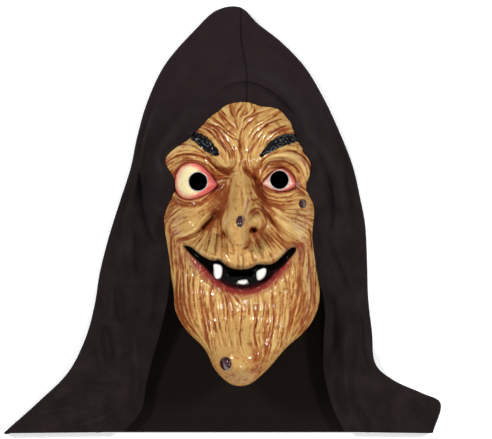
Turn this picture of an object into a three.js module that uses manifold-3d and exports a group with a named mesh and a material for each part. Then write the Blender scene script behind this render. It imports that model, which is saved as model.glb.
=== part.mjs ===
// Witch mask: a moulded face with a soft hood glued round it, lying on its back.
// Millimetres. X runs to the right of someone who looks at the face, Y to the hood's
// peak, Z out of the face. The origin lies on the flat underside, under the nose.
import * as THREE from 'three';
import manifold from 'manifold-3d';

const solids = await manifold();
solids.setup();

// Sizes

// Moulded face
const FACE_CENTRE_Y = 4;
const FACE_HALF_WIDTH = 62;
const FACE_HALF_HEIGHT = 117;
const WALL = 2.2;
const LINING_SMOOTHING = 4.5;
const FACE_COLUMNS = 36;
const FACE_ROWS = 62;
const LINING_COLUMNS = 14;
const LINING_ROWS = 24;

// Plan outline of the moulded face, clockwise from the top of its rim
const FACE_OUTLINE = [
  [3, 121.5], [30, 115], [50, 92], [60.5, 66], [60, 44], [62.5, 24], [61, 2], [63, -28],
  [62, -50], [53.5, -67], [36, -83], [20, -101], [6, -111.5], [-6, -111.5], [-19, -100.5],
  [-27.5, -84], [-43, -68], [-51, -54], [-53, -36], [-59, -14], [-63, 20], [-59.5, 45],
  [-63, 66], [-52, 89], [-28, 114],
];

// Height of the face's middle line over the floor, brow to chin, without the nose
const MIDLINE = [
  [122, 50], [106, 58], [86, 64], [66, 63], [48, 58], [28, 61], [8, 64], [-10, 69],
  [-24, 65], [-40, 68], [-56, 66], [-78, 74], [-96, 80], [-108, 74], [-114, 66],
];

// Nose: height over the face and half-width along its ridge
const NOSE = [
  { y: 66, rise: 0, half: 7 },
  { y: 56, rise: 5, half: 7.5 },
  { y: 44, rise: 12, half: 9 },
  { y: 30, rise: 20, half: 11.5 },
  { y: 16, rise: 27, half: 11.5 },
  { y: 8, rise: 31, half: 11 },
  { y: -3, rise: 31, half: 10 },
];
const NOSE_X = -0.7;
const NOSE_HEIGHT = 31;
const NOSE_BASE_Y = 3;
const NOSE_BASE_RUN = 6;
const NOSE_DROOP = 8;

// Eyeballs moulded in the face, and the round holes to look through
const EYES = [
  { x: -36, y: 48.3, rx: 16, ry: 14.2, rise: 13, hole: [-32.8, 48] },
  { x: 31.2, y: 49.4, rx: 13.2, ry: 8.6, rise: 10, hole: [30.8, 49.4] },
];
const EYE_HOLE_RADIUS = 7.2;

// Mouth: upper and lower edge of the open grin, and the slot between the teeth
const MOUTH_UPPER = [[-43.5, -3.5], [-31, -10], [-19, -15.5], [-4, -20.8], [4, -21.5], [17, -17.8], [31, -12.3], [43.5, -4.8]];
const MOUTH_LOWER = [[-43.5, -4.5], [-35, -14.7], [-27, -22.4], [-15.5, -32.3], [0, -36.2], [15.6, -34], [31, -22.4], [43.5, -6]];
const MOUTH_DEPTH = 8;
const SLOT = { x: 0.8, y: -24.2, width: 21, height: 4.6 };
const TEETH = [
  { x: -17, y: -21.6, rx: 4.8, ry: 7, rise: 9 },
  { x: 16.3, y: -24.3, rx: 5, ry: 6.8, rise: 9 },
  { x: 2, y: -30.6, rx: 5.8, ry: 3.8, rise: 8 },
];

const WARTS = [
  { x: 0.5, y: 16.4, rx: 3.4, ry: 4.8, rise: 3.6 },
  { x: 49.1, y: 30.4, rx: 3.8, ry: 4.4, rise: 3.6 },
  { x: -11.5, y: -92.5, rx: 4.8, ry: 5.8, rise: 4 },
];

// Broad swellings and hollows: centre, radii, rise
const FORMS = [
  { x: -35, y: 47, rx: 21, ry: 18, rise: -9 },
  { x: 31, y: 49, rx: 19, ry: 14, rise: -8 },
  { x: -32, y: 70, rx: 20, ry: 9, rise: 6 },
  { x: 34, y: 70, rx: 21, ry: 8, rise: 6 },
  { x: 0, y: 68, rx: 12, ry: 12, rise: 4 },
  { x: -42, y: 16, rx: 15, ry: 11, rise: 8 },
  { x: 39, y: 15, rx: 14, ry: 12, rise: 8 },
  { x: 14, y: 17, rx: 7, ry: 7.5, rise: 12 },
  { x: -13.5, y: 15, rx: 6.5, ry: 7.5, rise: 9 },
  { x: 0, y: -9, rx: 27, ry: 9, rise: 4 },
  { x: -30, y: -2, rx: 12, ry: 7, rise: 3 },
  { x: 31, y: -2, rx: 12, ry: 7, rise: 3 },
  { x: 2, y: -44, rx: 26, ry: 8, rise: 4 },
  { x: 0, y: -90, rx: 17, ry: 18, rise: 6 },
  { x: -44, y: -45, rx: 10, ry: 20, rise: 3 },
  { x: 50, y: -42, rx: 11, ry: 22, rise: 4 },
  { x: 12.5, y: 8.5, rx: 4.5, ry: 2.6, rise: -7 },
  { x: -12.5, y: 6.5, rx: 4, ry: 2.6, rise: -5 },
];

// Folds (rise over 0) and furrows (rise under 0), each along a line
const FOLDS = [
  { rise: 4.2, half: 3.6, line: [[-37, 83.5], [-29, 80], [-22, 74], [-17, 69.5]] },
  { rise: 4.2, half: 3.6, line: [[16.5, 69], [22, 73.5], [30, 79], [38, 81], [47, 80]] },
  { rise: 4.6, half: 3.4, line: [[19, 60], [30, 66], [43, 64], [52, 52], [50, 44]] },
  { rise: 3.5, half: 3, line: [[-52, 60], [-40, 67], [-27, 62], [-17, 50]] },
  { rise: 3.2, half: 2.8, line: [[-52, 38], [-40, 30], [-26, 34], [-17, 43]] },
  { rise: 3, half: 2.8, line: [[18, 42], [31, 37], [44, 42]] },
  { rise: -4, half: 2.8, line: [[-50, 3], [-38, 4], [-30, 8], [-24, 17], [-14, 24]] },
  { rise: -4, half: 2.8, line: [[16, 28], [24, 19], [31, 10], [39, 3], [50, 1]] },
  { rise: -3, half: 2.6, line: [[18, 42], [28, 31], [44, 24]] },
  { rise: -3, half: 2.6, line: [[-9, 74], [-6, 66], [-9, 60]] },
  { rise: -3, half: 2.6, line: [[9, 76], [7, 67], [11, 59]] },
  { rise: 3, half: 2.6, line: [[-42, -9], [-26, -26], [-10, -38.5], [8, -39.5], [26, -31], [43, -10]] },
];

// Furrows that fan up the brow from the nose, and that run down the chin
const BROW_FURROWS = { foot: [-1, 62], count: 7, spread: 92, near: 8, far: 58, rise: -2.6, half: 2.4 };
const CHIN_FURROWS = { count: 9, top: -42, foot: -88, topHalf: 42, footHalf: 17, rise: -2.6, half: 2.4 };

// Hood: cloth, drawn with the thickness of its hems
const CLOTH = 2.4;
const HOOD_EDGE_GAP = 1.6;
const GLUE_GAP = 0.4;
const HOOD_FOLD_HEIGHT = 11;
const HOOD_RIBS = 40;
const HOOD_FRONT_STEPS = 7;
const HOOD_FOLD_STEPS = 3;
const HOOD_BACK_STEPS = 3;

// Lines that the cloth follows from the front edge to the outer fold, from the left
// corner of the hem over the peak to the right corner. A height is given where the
// front edge hangs free of the face.
const HOOD_LINES = [
  { front: [-93, -152, 11], side: [-190, -153] },
  { front: [-79, -134, 11.5], side: [-162, -128] },
  { front: [-75, -113, 12.5], side: [-138, -104] },
  { front: [-70, -93, 14.5], side: [-124, -76] },
  { front: [-62.5, -66, 19], side: [-117, -50] },
  { front: [-57.5, -42, 27], side: [-113, -25] },
  { front: [-56, -15], side: [-106, 3] },
  { front: [-60.7, 18], side: [-97, 32] },
  { front: [-52, 47], side: [-88, 60] },
  { front: [-59.5, 66], side: [-83, 84] },
  { front: [-42, 81], side: [-75, 112] },
  { front: [-33, 90], side: [-61, 142] },
  { front: [-19, 103], side: [-38, 169] },
  { front: [-8, 110], side: [-18, 187] },
  { front: [4, 111.3], side: [0, 189] },
  { front: [17, 108], side: [14, 176] },
  { front: [31, 105.5], side: [33, 161] },
  { front: [39, 97], side: [52, 141] },
  { front: [44, 86], side: [66, 118] },
  { front: [50, 73], side: [78, 93] },
  { front: [56.5, 60], side: [90, 63] },
  { front: [53, 43.5], side: [96, 38] },
  { front: [59, 28], side: [100.5, 14] },
  { front: [57.7, 8], side: [102, -14] },
  { front: [61.5, -26], side: [103, -46] },
  { front: [67.5, -48, 28], side: [106, -72] },
  { front: [67, -72, 18], side: [109, -98] },
  { front: [66.5, -100, 13.5], side: [122, -110] },
  { front: [71, -122, 12], side: [146, -121] },
  { front: [76.5, -138, 11.5], side: [161, -129] },
  { front: [84, -152, 11], side: [155, -153] },
];

// Long folds of the hood: where they run round it (0 to 1), how high and how wide
const HOOD_FOLDS = [
  { at: 0.07, rise: 4, half: 0.025 },
  { at: 0.14, rise: 3.5, half: 0.022 },
  { at: 0.22, rise: 3, half: 0.022 },
  { at: 0.8, rise: 3, half: 0.02 },
  { at: 0.88, rise: 4, half: 0.02 },
  { at: 0.95, rise: 3.5, half: 0.02 },
];
const HOOD_CREST = 5;

// Shape functions

const clamp = (value, low, high) => Math.min(high, Math.max(low, value));
const mix = (a, b, t) => a + (b - a) * t;
const smooth = (low, high, value) => {
  const t = clamp((value - low) / (high - low), 0, 1);
  return t * t * (3 - 2 * t);
};

// Value at x of the smooth curve through [x, y] pairs in falling order of x
function through(pairs, x) {
  const last = pairs.length - 1;
  let k = 0;
  while (k < last - 1 && x < pairs[k + 1][0]) k += 1;
  const t = clamp((x - pairs[k][0]) / (pairs[k + 1][0] - pairs[k][0]), 0, 1);
  const y0 = pairs[Math.max(k - 1, 0)][1];
  const y1 = pairs[k][1];
  const y2 = pairs[k + 1][1];
  const y3 = pairs[Math.min(k + 2, last)][1];
  const bend = 2 * y0 - 5 * y1 + 4 * y2 - y3;
  return y1 + 0.5 * t * (y2 - y0 + t * (bend + t * (3 * (y1 - y2) + y3 - y0)));
}

const swell = (x, y, f) => Math.exp(-(((x - f.x) / f.rx) ** 2) - ((y - f.y) / f.ry) ** 2);
const dome = (x, y, f) => Math.sqrt(Math.max(0, 1 - ((x - f.x) / f.rx) ** 2 - ((y - f.y) / f.ry) ** 2));

// Height of a fold or furrow at a distance from its line, tapering to its ends
function along(x, y, fold) {
  const { line, half } = fold;
  let best = Infinity;
  let taper = 1;
  for (let k = 0; k + 1 < line.length; k += 1) {
    const [ax, ay] = line[k];
    const [bx, by] = line[k + 1];
    const length2 = (bx - ax) ** 2 + (by - ay) ** 2;
    const t = clamp(((x - ax) * (bx - ax) + (y - ay) * (by - ay)) / length2, 0, 1);
    const d = Math.hypot(x - mix(ax, bx, t), y - mix(ay, by, t));
    if (d < best) {
      best = d;
      const s = (k + t) / (line.length - 1);
      taper = smooth(0, 0.18, s) * smooth(0, 0.18, 1 - s) * 0.7 + 0.3;
    }
  }
  return fold.rise * taper * Math.exp(-((best / half) ** 2));
}

// Distance of the face's plan outline from its centre, by direction
const outlinePoints = new THREE.CatmullRomCurve3(
  FACE_OUTLINE.map(([x, y]) => new THREE.Vector3(x, y - FACE_CENTRE_Y, 0)), true,
).getPoints(360);
const outlineRadii = outlinePoints
  .map((p) => [Math.atan2(p.y, p.x), Math.hypot(p.x, p.y)])
  .sort((a, b) => a[0] - b[0]);

function reach(angle) {
  const table = outlineRadii;
  let low = 0;
  let high = table.length - 1;
  if (angle <= table[low][0] || angle >= table[high][0]) return table[low][1];
  while (high - low > 1) {
    const middle = (low + high) >> 1;
    if (table[middle][0] > angle) high = middle;
    else low = middle;
  }
  return mix(table[low][1], table[high][1], (angle - table[low][0]) / (table[high][0] - table[low][0]));
}

// Heights of the widest line of the face and of its rim, by direction
const widestHeight = (s) => 20 + 10 * Math.max(0, s) ** 2 + 28 * Math.max(0, -s) ** 2;
const rimHeight = (s) => 3.2 + 5 * Math.max(0, s) ** 2 + 27 * Math.max(0, -s) ** 4;
const rimInset = (s) => 1 + 15 * Math.max(0, -s) ** 3;

// Pillow of the face without any feature
function pillow(x, y, inset) {
  const angle = Math.atan2(y - FACE_CENTRE_Y, x);
  const rho = Math.min(1, Math.hypot(x, y - FACE_CENTRE_Y) / (reach(angle) - inset));
  const s = Math.sin(angle);
  const power = mix(2.7, 7, Math.abs(s) ** 3);
  const rim = widestHeight(s);
  return { z: mix(rim, through(MIDLINE, y), (1 - rho ** power) ** 0.58), keep: smooth(1, 0.86, rho) };
}

function nose(x, y) {
  if (y > NOSE[0].y) return 0;
  const rise = through(NOSE.map((n) => [n.y, n.rise]), y);
  const half = through(NOSE.map((n) => [n.y, n.half]), y);
  const foot = smooth(NOSE_BASE_Y - NOSE_BASE_RUN, NOSE_BASE_Y + NOSE_BASE_RUN, y);
  return rise * foot * Math.exp(-(Math.abs((x - NOSE_X) / half) ** 3));
}

// How far a place is inside the open mouth: 1 inside, 0 outside
function mouthPart(x, y) {
  const span = MOUTH_UPPER[MOUTH_UPPER.length - 1][0];
  if (Math.abs(x) > span) return 0;
  const upper = through([...MOUTH_UPPER].reverse(), x);
  const lower = through([...MOUTH_LOWER].reverse(), x);
  return smooth(-1, 2, upper - y) * smooth(-1, 2, y - lower);
}

function forms(x, y) {
  let z = nose(x, y) - MOUTH_DEPTH * mouthPart(x, y);
  for (const form of FORMS) z += form.rise * swell(x, y, form);
  for (const eye of EYES) z += eye.rise * dome(x, y, eye) ** 1.3;
  return z;
}

function browFurrows() {
  const { foot, count, spread, near, far, rise, half } = BROW_FURROWS;
  return Array.from({ length: count }, (_, k) => {
    const turn = THREE.MathUtils.degToRad(90 + spread * (k / (count - 1) - 0.5));
    const at = (r, bend) => [foot[0] + r * Math.cos(turn) * bend, foot[1] + r * Math.sin(turn)];
    return { rise, half, line: [at(near, 0.5), at(mix(near, far, 0.5), 0.75), at(far, 1.1)] };
  });
}

function chinFurrows() {
  const { count, top, foot, topHalf, footHalf, rise, half } = CHIN_FURROWS;
  return Array.from({ length: count }, (_, k) => {
    const side = (2 * k) / (count - 1) - 1;
    const sag = 14 * side * side;
    return {
      rise,
      half,
      line: [
        [topHalf * side, top + sag], [mix(topHalf, footHalf, 0.3) * side, mix(top, foot, 0.5) + sag * 0.6],
        [footHalf * side, foot + sag * 1.2],
      ],
    };
  });
}

const CARVING = [...FOLDS, ...browFurrows(), ...chinFurrows()];

function carving(x, y) {
  let z = 0;
  for (const fold of CARVING) z += along(x, y, fold);
  for (const bit of [...TEETH, ...WARTS]) z += bit.rise * dome(x, y, bit);
  return z;
}

const outerHeight = (x, y) => {
  const base = pillow(x, y, 0);
  return base.z + base.keep * (forms(x, y) + carving(x, y));
};

// The inside follows the face but skips its fine carving: it keeps a wall's thickness
// under the lowest place near by
function liningHeight(x, y) {
  let low = outerHeight(x, y);
  for (let k = 0; k < 8; k += 1) {
    const turn = (Math.PI * k) / 4;
    const nearX = x + LINING_SMOOTHING * Math.cos(turn);
    const nearY = y + LINING_SMOOTHING * Math.sin(turn);
    low = Math.min(low, outerHeight(nearX, nearY));
  }
  return low - WALL;
}

// The nose tip hangs over the upper lip
function droop(x, y) {
  const lift = nose(x, y) / NOSE_HEIGHT;
  return NOSE_DROOP * lift ** 2 * smooth(34, 2, y);
}

// Mesh building

class Skin {
  constructor() {
    this.points = [];
    this.faces = [];
  }

  point(x, y, z) {
    this.points.push([x, y, z]);
    return this.points.length - 1;
  }

  triangle(a, b, c) {
    if (a !== b && b !== c && c !== a) this.faces.push([a, b, c]);
  }

  quad(a, b, c, d) {
    this.triangle(a, b, c);
    this.triangle(a, c, d);
  }

  solid() {
    return new solids.Manifold(new solids.Mesh({
      numProp: 3,
      vertProperties: Float32Array.from(this.points.flat()),
      triVerts: Uint32Array.from(this.faces.flat()),
    }));
  }

  geometry() {
    const geometry = new THREE.BufferGeometry();
    geometry.setAttribute('position', new THREE.Float32BufferAttribute(this.points.flat(), 3));
    geometry.setIndex(this.faces.flat());
    return geometry;
  }
}

// Grid lines stand closer together where the face has most carving
function crowd(t, places) {
  const count = 200;
  const steps = Array.from({ length: count }, (_, k) => {
    const at = (2 * (k + 0.5)) / count - 1;
    return 1 + places.reduce((sum, p) => sum + p.more * Math.exp(-(((at - p.at) / p.half) ** 2)), 0);
  });
  const total = steps.reduce((a, b) => a + b, 0);
  let need = t * total;
  for (let k = 0; k < count; k += 1) {
    if (need <= steps[k]) return (2 * (k + need / steps[k])) / count - 1;
    need -= steps[k];
  }
  return 1;
}

const ROW_CROWD = [{ at: -0.03, half: 0.05, more: 1 }, { at: -0.2, half: 0.12, more: 0.5 }, { at: 0.4, half: 0.14, more: 0.3 }];

// Closed body under a height function: a grid over the plan outline, a skirt to the
// rim and a cone of faces that closes the rim
function faceBody(columns, rows, inset, height, closeBelow) {
  const skin = new Skin();
  const grid = [];
  for (let j = 0; j <= rows; j += 1) {
    const row = [];
    const b = crowd(j / rows, ROW_CROWD);
    for (let i = 0; i <= columns; i += 1) {
      const a = (2 * i) / columns - 1;
      const u = a * Math.sqrt(1 - (b * b) / 2) * FACE_HALF_WIDTH;
      const v = b * Math.sqrt(1 - (a * a) / 2) * FACE_HALF_HEIGHT;
      const angle = Math.atan2(v, u);
      const oval = 1 / Math.hypot(Math.cos(angle) / FACE_HALF_WIDTH, Math.sin(angle) / FACE_HALF_HEIGHT);
      const rho = Math.hypot(u, v) / oval;
      const plan = (reach(angle) - inset) * (rho * (1.12 - 0.12 * rho ** 6));
      const x = plan * Math.cos(angle);
      const y = FACE_CENTRE_Y + plan * Math.sin(angle);
      row.push(skin.point(x, y - droop(x, y), height(x, y)));
    }
    grid.push(row);
  }
  for (let j = 0; j < rows; j += 1) {
    for (let i = 0; i < columns; i += 1) skin.quad(grid[j][i], grid[j][i + 1], grid[j + 1][i + 1], grid[j + 1][i]);
  }
  const edge = [
    ...grid[0].slice(0, columns), ...grid.slice(0, rows).map((row) => row[columns]),
    ...grid[rows].slice(1).reverse(), ...grid.slice(1).reverse().map((row) => row[0]),
  ];
  let ring = edge;
  for (const step of [0.5, 1]) {
    const next = edge.map((index) => {
      const [x, y, z] = skin.points[index];
      const angle = Math.atan2(y - FACE_CENTRE_Y, x);
      const s = Math.sin(angle);
      const inward = rimInset(s) * step * step;
      const low = rimHeight(s) - closeBelow;
      return skin.point(x - inward * Math.cos(angle), y - inward * s, mix(z, low, step));
    });
    ring.forEach((_, k) => {
      const after = (k + 1) % ring.length;
      skin.quad(ring[k], next[k], next[after], ring[after]);
    });
    ring = next;
  }
  const hub = skin.point(0, FACE_CENTRE_Y, 6 - closeBelow);
  ring.forEach((_, k) => skin.triangle(ring[k], hub, ring[(k + 1) % ring.length]));
  return skin.solid();
}

function faceSolid() {
  const outside = faceBody(FACE_COLUMNS, FACE_ROWS, 0, outerHeight, 0);
  const inside = faceBody(LINING_COLUMNS, LINING_ROWS, WALL, liningHeight, 5);
  const holes = EYES.map((eye) => solids.Manifold.cylinder(90, EYE_HOLE_RADIUS, EYE_HOLE_RADIUS, 24)
    .translate([eye.hole[0], eye.hole[1], 10]));
  const slot = solids.Manifold.cube([SLOT.width, SLOT.height, 90], true).translate([SLOT.x, SLOT.y, 60]);
  return [inside, ...holes, slot].reduce((body, tool) => body.subtract(tool), outside);
}

// The space that the face takes up under the hood, with a little room round it
function faceRoom() {
  return faceBody(FACE_COLUMNS, FACE_ROWS, -GLUE_GAP, (x, y) => outerHeight(x, y) + GLUE_GAP, 0);
}

function toGeometry(solid) {
  const mesh = solid.getMesh();
  const geometry = new THREE.BufferGeometry();
  geometry.setAttribute('position', new THREE.BufferAttribute(mesh.vertProperties, 3));
  geometry.setIndex(new THREE.BufferAttribute(mesh.triVerts, 1));
  return geometry;
}

// Hood

function hoodCurve(key) {
  const points = HOOD_LINES.map((line) => {
    const [x, y, z] = line[key];
    return new THREE.Vector3(x, y, z ?? 0);
  });
  return new THREE.CatmullRomCurve3(points, false, 'centripetal');
}

const frontCurve = hoodCurve('front');
const sideCurve = hoodCurve('side');

// Height of the front edge: on the face, or free where a height is given
function edgeHeight(u) {
  const place = u * (HOOD_LINES.length - 1);
  const heights = HOOD_LINES.map(({ front: [x, y, z] }) => z ?? outerHeight(x, y) + HOOD_EDGE_GAP + CLOTH);
  const k = Math.min(HOOD_LINES.length - 2, Math.floor(place));
  return mix(heights[k], heights[k + 1], smooth(0, 1, place - k));
}

function hoodOutside(u, v) {
  const front = frontCurve.getPoint(u);
  const side = sideCurve.getPoint(u);
  const run = Math.hypot(side.x - front.x, side.y - front.y);
  const inner = 1 - (HOOD_FOLD_HEIGHT * 0.5) / run;
  const x = mix(front.x, side.x, v * inner);
  const y = mix(front.y, side.y, v * inner);
  const edge = edgeHeight(u);
  const slope = mix(edge, HOOD_FOLD_HEIGHT, v ** 0.9);
  const crest = HOOD_CREST * Math.exp(-(((v - 0.22) / 0.16) ** 2)) * smooth(0.1, 0.25, u) * smooth(0.9, 0.75, u);
  let z = slope + crest;
  for (const fold of HOOD_FOLDS) {
    z += fold.rise * Math.exp(-(((u - fold.at) / fold.half) ** 2)) * smooth(0, 0.2, v) * smooth(1, 0.75, v);
  }
  const angle = Math.atan2(y - FACE_CENTRE_Y, x);
  if (Math.hypot(x, y - FACE_CENTRE_Y) < reach(angle) + 3) {
    z = Math.max(z, outerHeight(x, y) + HOOD_EDGE_GAP + CLOTH);
  }
  return [x, y, z];
}

function hoodSolid() {
  const half = HOOD_RIBS / 2;
  const columns = HOOD_FRONT_STEPS + HOOD_FOLD_STEPS + HOOD_BACK_STEPS;
  const outside = [];
  for (let i = 0; i <= HOOD_RIBS; i += 1) {
    const u = i / HOOD_RIBS;
    const row = [];
    for (let j = 0; j <= HOOD_FRONT_STEPS; j += 1) row.push(hoodOutside(u, j / HOOD_FRONT_STEPS));
    const top = row[HOOD_FRONT_STEPS];
    const side = sideCurve.getPoint(u);
    const radius = HOOD_FOLD_HEIGHT / 2;
    for (let j = 1; j <= HOOD_FOLD_STEPS; j += 1) {
      const turn = (Math.PI * j) / HOOD_FOLD_STEPS;
      const out = Math.sin(turn);
      row.push([mix(top[0], side.x, out), mix(top[1], side.y, out), radius * (1 + Math.cos(turn))]);
    }
    outside.push(row);
  }
  for (let i = 0; i <= HOOD_RIBS; i += 1) {
    const start = outside[i][HOOD_FRONT_STEPS + HOOD_FOLD_STEPS];
    const other = outside[HOOD_RIBS - i][HOOD_FRONT_STEPS + HOOD_FOLD_STEPS];
    for (let j = 1; j <= HOOD_BACK_STEPS; j += 1) {
      const t = (0.5 * j) / HOOD_BACK_STEPS;
      outside[i].push([mix(start[0], other[0], t), mix(start[1], other[1], t), 0]);
    }
  }
  const skin = new Skin();
  const last = columns;
  const index = outside.map(() => []);
  for (let i = 0; i <= HOOD_RIBS; i += 1) {
    for (let j = 0; j <= columns; j += 1) {
      const mirrored = j === last && i > half;
      const closed = i === half && j > HOOD_FRONT_STEPS + HOOD_FOLD_STEPS;
      if (mirrored) index[i].push(index[HOOD_RIBS - i][j]);
      else if (closed) index[i].push(index[i][HOOD_FRONT_STEPS + HOOD_FOLD_STEPS]);
      else index[i].push(skin.point(...outside[i][j]));
    }
  }
  for (let i = 0; i < HOOD_RIBS; i += 1) {
    for (let j = 0; j < columns; j += 1) {
      skin.quad(index[i][j], index[i + 1][j], index[i + 1][j + 1], index[i][j + 1]);
    }
  }
  const shell = skin.faces.length;
  const lift = new Skin();
  lift.points = skin.points;
  lift.faces = skin.faces;
  const geometry = lift.geometry();
  geometry.computeVertexNormals();
  const normal = geometry.getAttribute('normal');
  const count = skin.points.length;
  for (let k = 0; k < count; k += 1) {
    const [x, y, z] = skin.points[k];
    skin.point(x - normal.getX(k) * CLOTH, y - normal.getY(k) * CLOTH, z - normal.getZ(k) * CLOTH);
  }
  for (let k = 0; k < shell; k += 1) {
    const [a, b, c] = skin.faces[k];
    skin.triangle(a + count, c + count, b + count);
  }
  const rim = [
    ...index.map((row) => row[0]),
    ...index[HOOD_RIBS].slice(1),
    ...index[0].slice(0, last).reverse(),
  ];
  for (let k = 0; k + 1 < rim.length; k += 1) skin.quad(rim[k], rim[k] + count, rim[k + 1] + count, rim[k + 1]);
  return skin;
}

// The object

const vinyl = new THREE.MeshStandardMaterial({ color: 0xc8a05a, roughness: 0.4 });
vinyl.name = 'vinyl';
const cloth = new THREE.MeshStandardMaterial({ color: 0x2c262a, roughness: 0.95 });
cloth.name = 'cloth';

const face = new THREE.Mesh(toGeometry(faceSolid()), vinyl);
face.name = 'face';
const hood = new THREE.Mesh(toGeometry(hoodSolid().solid().subtract(faceRoom())), cloth);
hood.name = 'hood';

const mask = new THREE.Group();
mask.name = 'witch_mask';
mask.add(face, hood);

export default mask;
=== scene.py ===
import math

import bpy
import numpy as np
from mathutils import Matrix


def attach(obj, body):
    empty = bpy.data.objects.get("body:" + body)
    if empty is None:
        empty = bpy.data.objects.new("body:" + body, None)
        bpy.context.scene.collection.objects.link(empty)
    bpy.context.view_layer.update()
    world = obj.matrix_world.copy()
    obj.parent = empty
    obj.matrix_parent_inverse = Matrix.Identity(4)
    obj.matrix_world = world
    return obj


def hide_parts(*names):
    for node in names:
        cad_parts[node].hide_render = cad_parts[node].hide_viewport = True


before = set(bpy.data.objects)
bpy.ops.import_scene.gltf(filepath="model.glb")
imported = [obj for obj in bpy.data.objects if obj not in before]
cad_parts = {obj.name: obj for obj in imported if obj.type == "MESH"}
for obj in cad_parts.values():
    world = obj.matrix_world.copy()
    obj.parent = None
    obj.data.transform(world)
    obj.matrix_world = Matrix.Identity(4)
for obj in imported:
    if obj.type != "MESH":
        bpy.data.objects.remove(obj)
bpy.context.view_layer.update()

# Moulded face
# A shell of soft vinyl, about 2 mm thick, cast in one with its brows, teeth, warts and
# bulging eyeballs. It is painted tan, with a brown wash rubbed into every crease.
# All sizes are millimetres: x to the right, y to the hood's peak, z up from the floor.
MM = 0.001
FACE_CENTRE_Y = 4
FACE_HALF_WIDTH = 62
FACE_HALF_HEIGHT = 117
WALL = 2.2
LINING_SMOOTHING = 3
FACE_COLUMNS, FACE_ROWS = 208, 396
LINING_COLUMNS, LINING_ROWS = 46, 86

# Height over the floor where the skin starts to round off, and of its rim under that:
# at the sides, then what is added at the brow and at the chin
SHOULDER = (20, 10, 28)
RIM_HEIGHT = (3.2, 5, 27)
# How far the rim is tucked in: all round, then what is added at the chin
RIM_TUCK = (1, 15)
# How square the bare form is: at the sides, and what is added towards brow and chin and
# at the chin's tip
SQUARENESS = (2.7, 4.3, 5)
SHOULDER_POWER = 0.58
# Where the rows of the mesh stand closer: place, spread, how much closer
FINE_ROWS = ((-0.03, 0.05, 1), (-0.2, 0.12, 0.4), (0.4, 0.14, 0.3))
EDGE_CROWDING = 0.12

FACE_OUTLINE = (
    (3, 121.5), (30, 115), (50, 92), (60.5, 66), (60, 44), (62.5, 24), (61, 2), (63, -28),
    (62, -50), (53.5, -67), (36, -83), (20, -101), (6, -111.5), (-6, -111.5), (-19, -100.5),
    (-27.5, -84), (-43, -68), (-51, -54), (-53, -36), (-59, -14), (-63, 20), (-59.5, 45),
    (-63, 66), (-52, 89), (-28, 114),
)
MIDLINE = (
    (122, 50), (106, 58), (86, 64), (66, 63), (48, 58), (28, 61), (8, 64), (-10, 69),
    (-24, 65), (-40, 68), (-56, 66), (-78, 74), (-96, 80), (-108, 74), (-114, 66),
)

# Nose: place along its ridge, height over the face, half-width, and the ridge's x
NOSE = (
    (61, 0, 3.5, -1), (56, 4, 4.4, -1.2), (50, 9, 6.4, -0.4), (44, 14, 8.6, 0.8), (38, 18.5, 9.8, 1.2),
    (33, 21.5, 10, 0.6), (26, 26, 10.2, -1.4), (20, 29, 10.4, -2.8), (14, 31, 10, -2.6), (9, 32, 9, -1.6),
    (3, 32, 7.8, -0.6), (-3, 31, 6.8, 0),
)
NOSE_HEIGHT = 31
NOSE_BASE_Y = 2
NOSE_BASE_RUN = 5.5
NOSE_SQUARENESS = 3.2
NOSE_DROOP = 8
DROOP_FROM, DROOP_FULL = 34, 2

# Broad swellings and hollows: x, y, radius across, radius up, rise
FORMS = (
    (-35, 47, 21, 18, -9), (31, 49, 19, 14, -8), (-32, 70, 20, 9, 6), (34, 70, 21, 8, 6),
    (0, 68, 12, 12, 4), (-42, 16, 15, 11, 8), (39, 15, 14, 12, 8), (12.5, 18, 7.5, 8, 9),
    (-13, 15, 6, 7.5, 8), (0, -9, 27, 9, 4), (-30, -2, 12, 7, 3), (31, -2, 12, 7, 3), (2, -44, 26, 8, 4),
    (0, -90, 17, 18, 6), (-44, -45, 10, 20, 3), (50, -42, 11, 22, 4), (-12.5, 6.5, 4, 2.6, -4),
)
ALA = (13.4, 16.6, 6.4, 6, 5.5)
NOSTRIL = (10, 10.4, 3.2, 2.4, -8)

# Features told apart by paint, by their outline. An eyeball also has its rise, and the
# depth inside its outline at which it is full.
LEFT_EYE = ((-51.2, 47), (-49.5, 55), (-45, 60.5), (-38, 62.4), (-31, 60.8), (-25, 55.5), (-21, 50.3),
            (-18.5, 45.8), (-21, 42.3), (-27, 38.3), (-34, 35.3), (-41, 34.4), (-47, 37), (-50.5, 42))
RIGHT_EYE = ((17.6, 46.4), (21, 50.5), (25, 54.8), (30, 57.6), (35, 57), (39.5, 54), (42.3, 50),
             (43.6, 46), (40, 42.4), (33, 40.6), (26, 41.6), (21, 44))
LEFT_BROW = ((-45, 87), (-40, 88.8), (-34, 86.8), (-28, 83.8), (-24, 81), (-20.3, 77), (-17.3, 72.6),
             (-15.8, 69.6), (-17, 68.2), (-20, 68.2), (-24.5, 69.6), (-29, 73), (-33, 76.5), (-38, 80.5))
RIGHT_BROW = ((15.3, 67.6), (17.5, 71.8), (21, 76.5), (26, 81), (31, 84), (36.5, 85.4), (42, 85.4),
              (49, 83), (51, 79), (45, 78.8), (38, 76.6), (31, 74), (26, 71.4), (21, 69.2), (17, 67))
MOUTH = ((-44, -2.6), (-40, -2.6), (-36, -5), (-31, -9), (-26, -12), (-21.5, -13.6), (-16.5, -13),
         (-12.5, -15.8), (-9, -18.6), (-3, -20.4), (3, -20.6), (9, -19.2), (13, -16.8), (18, -16.6),
         (24, -16.6), (28, -14.6), (32, -11), (36, -7), (40, -3.8), (44, -3.6), (43.5, -7), (40, -11.5),
         (35, -17), (30, -22), (24, -28), (19, -32), (12, -35), (4, -36.6), (-4, -36), (-11, -33.6),
         (-17, -30), (-22, -26), (-28, -19.5), (-34, -13.6), (-39, -8.5))
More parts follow.
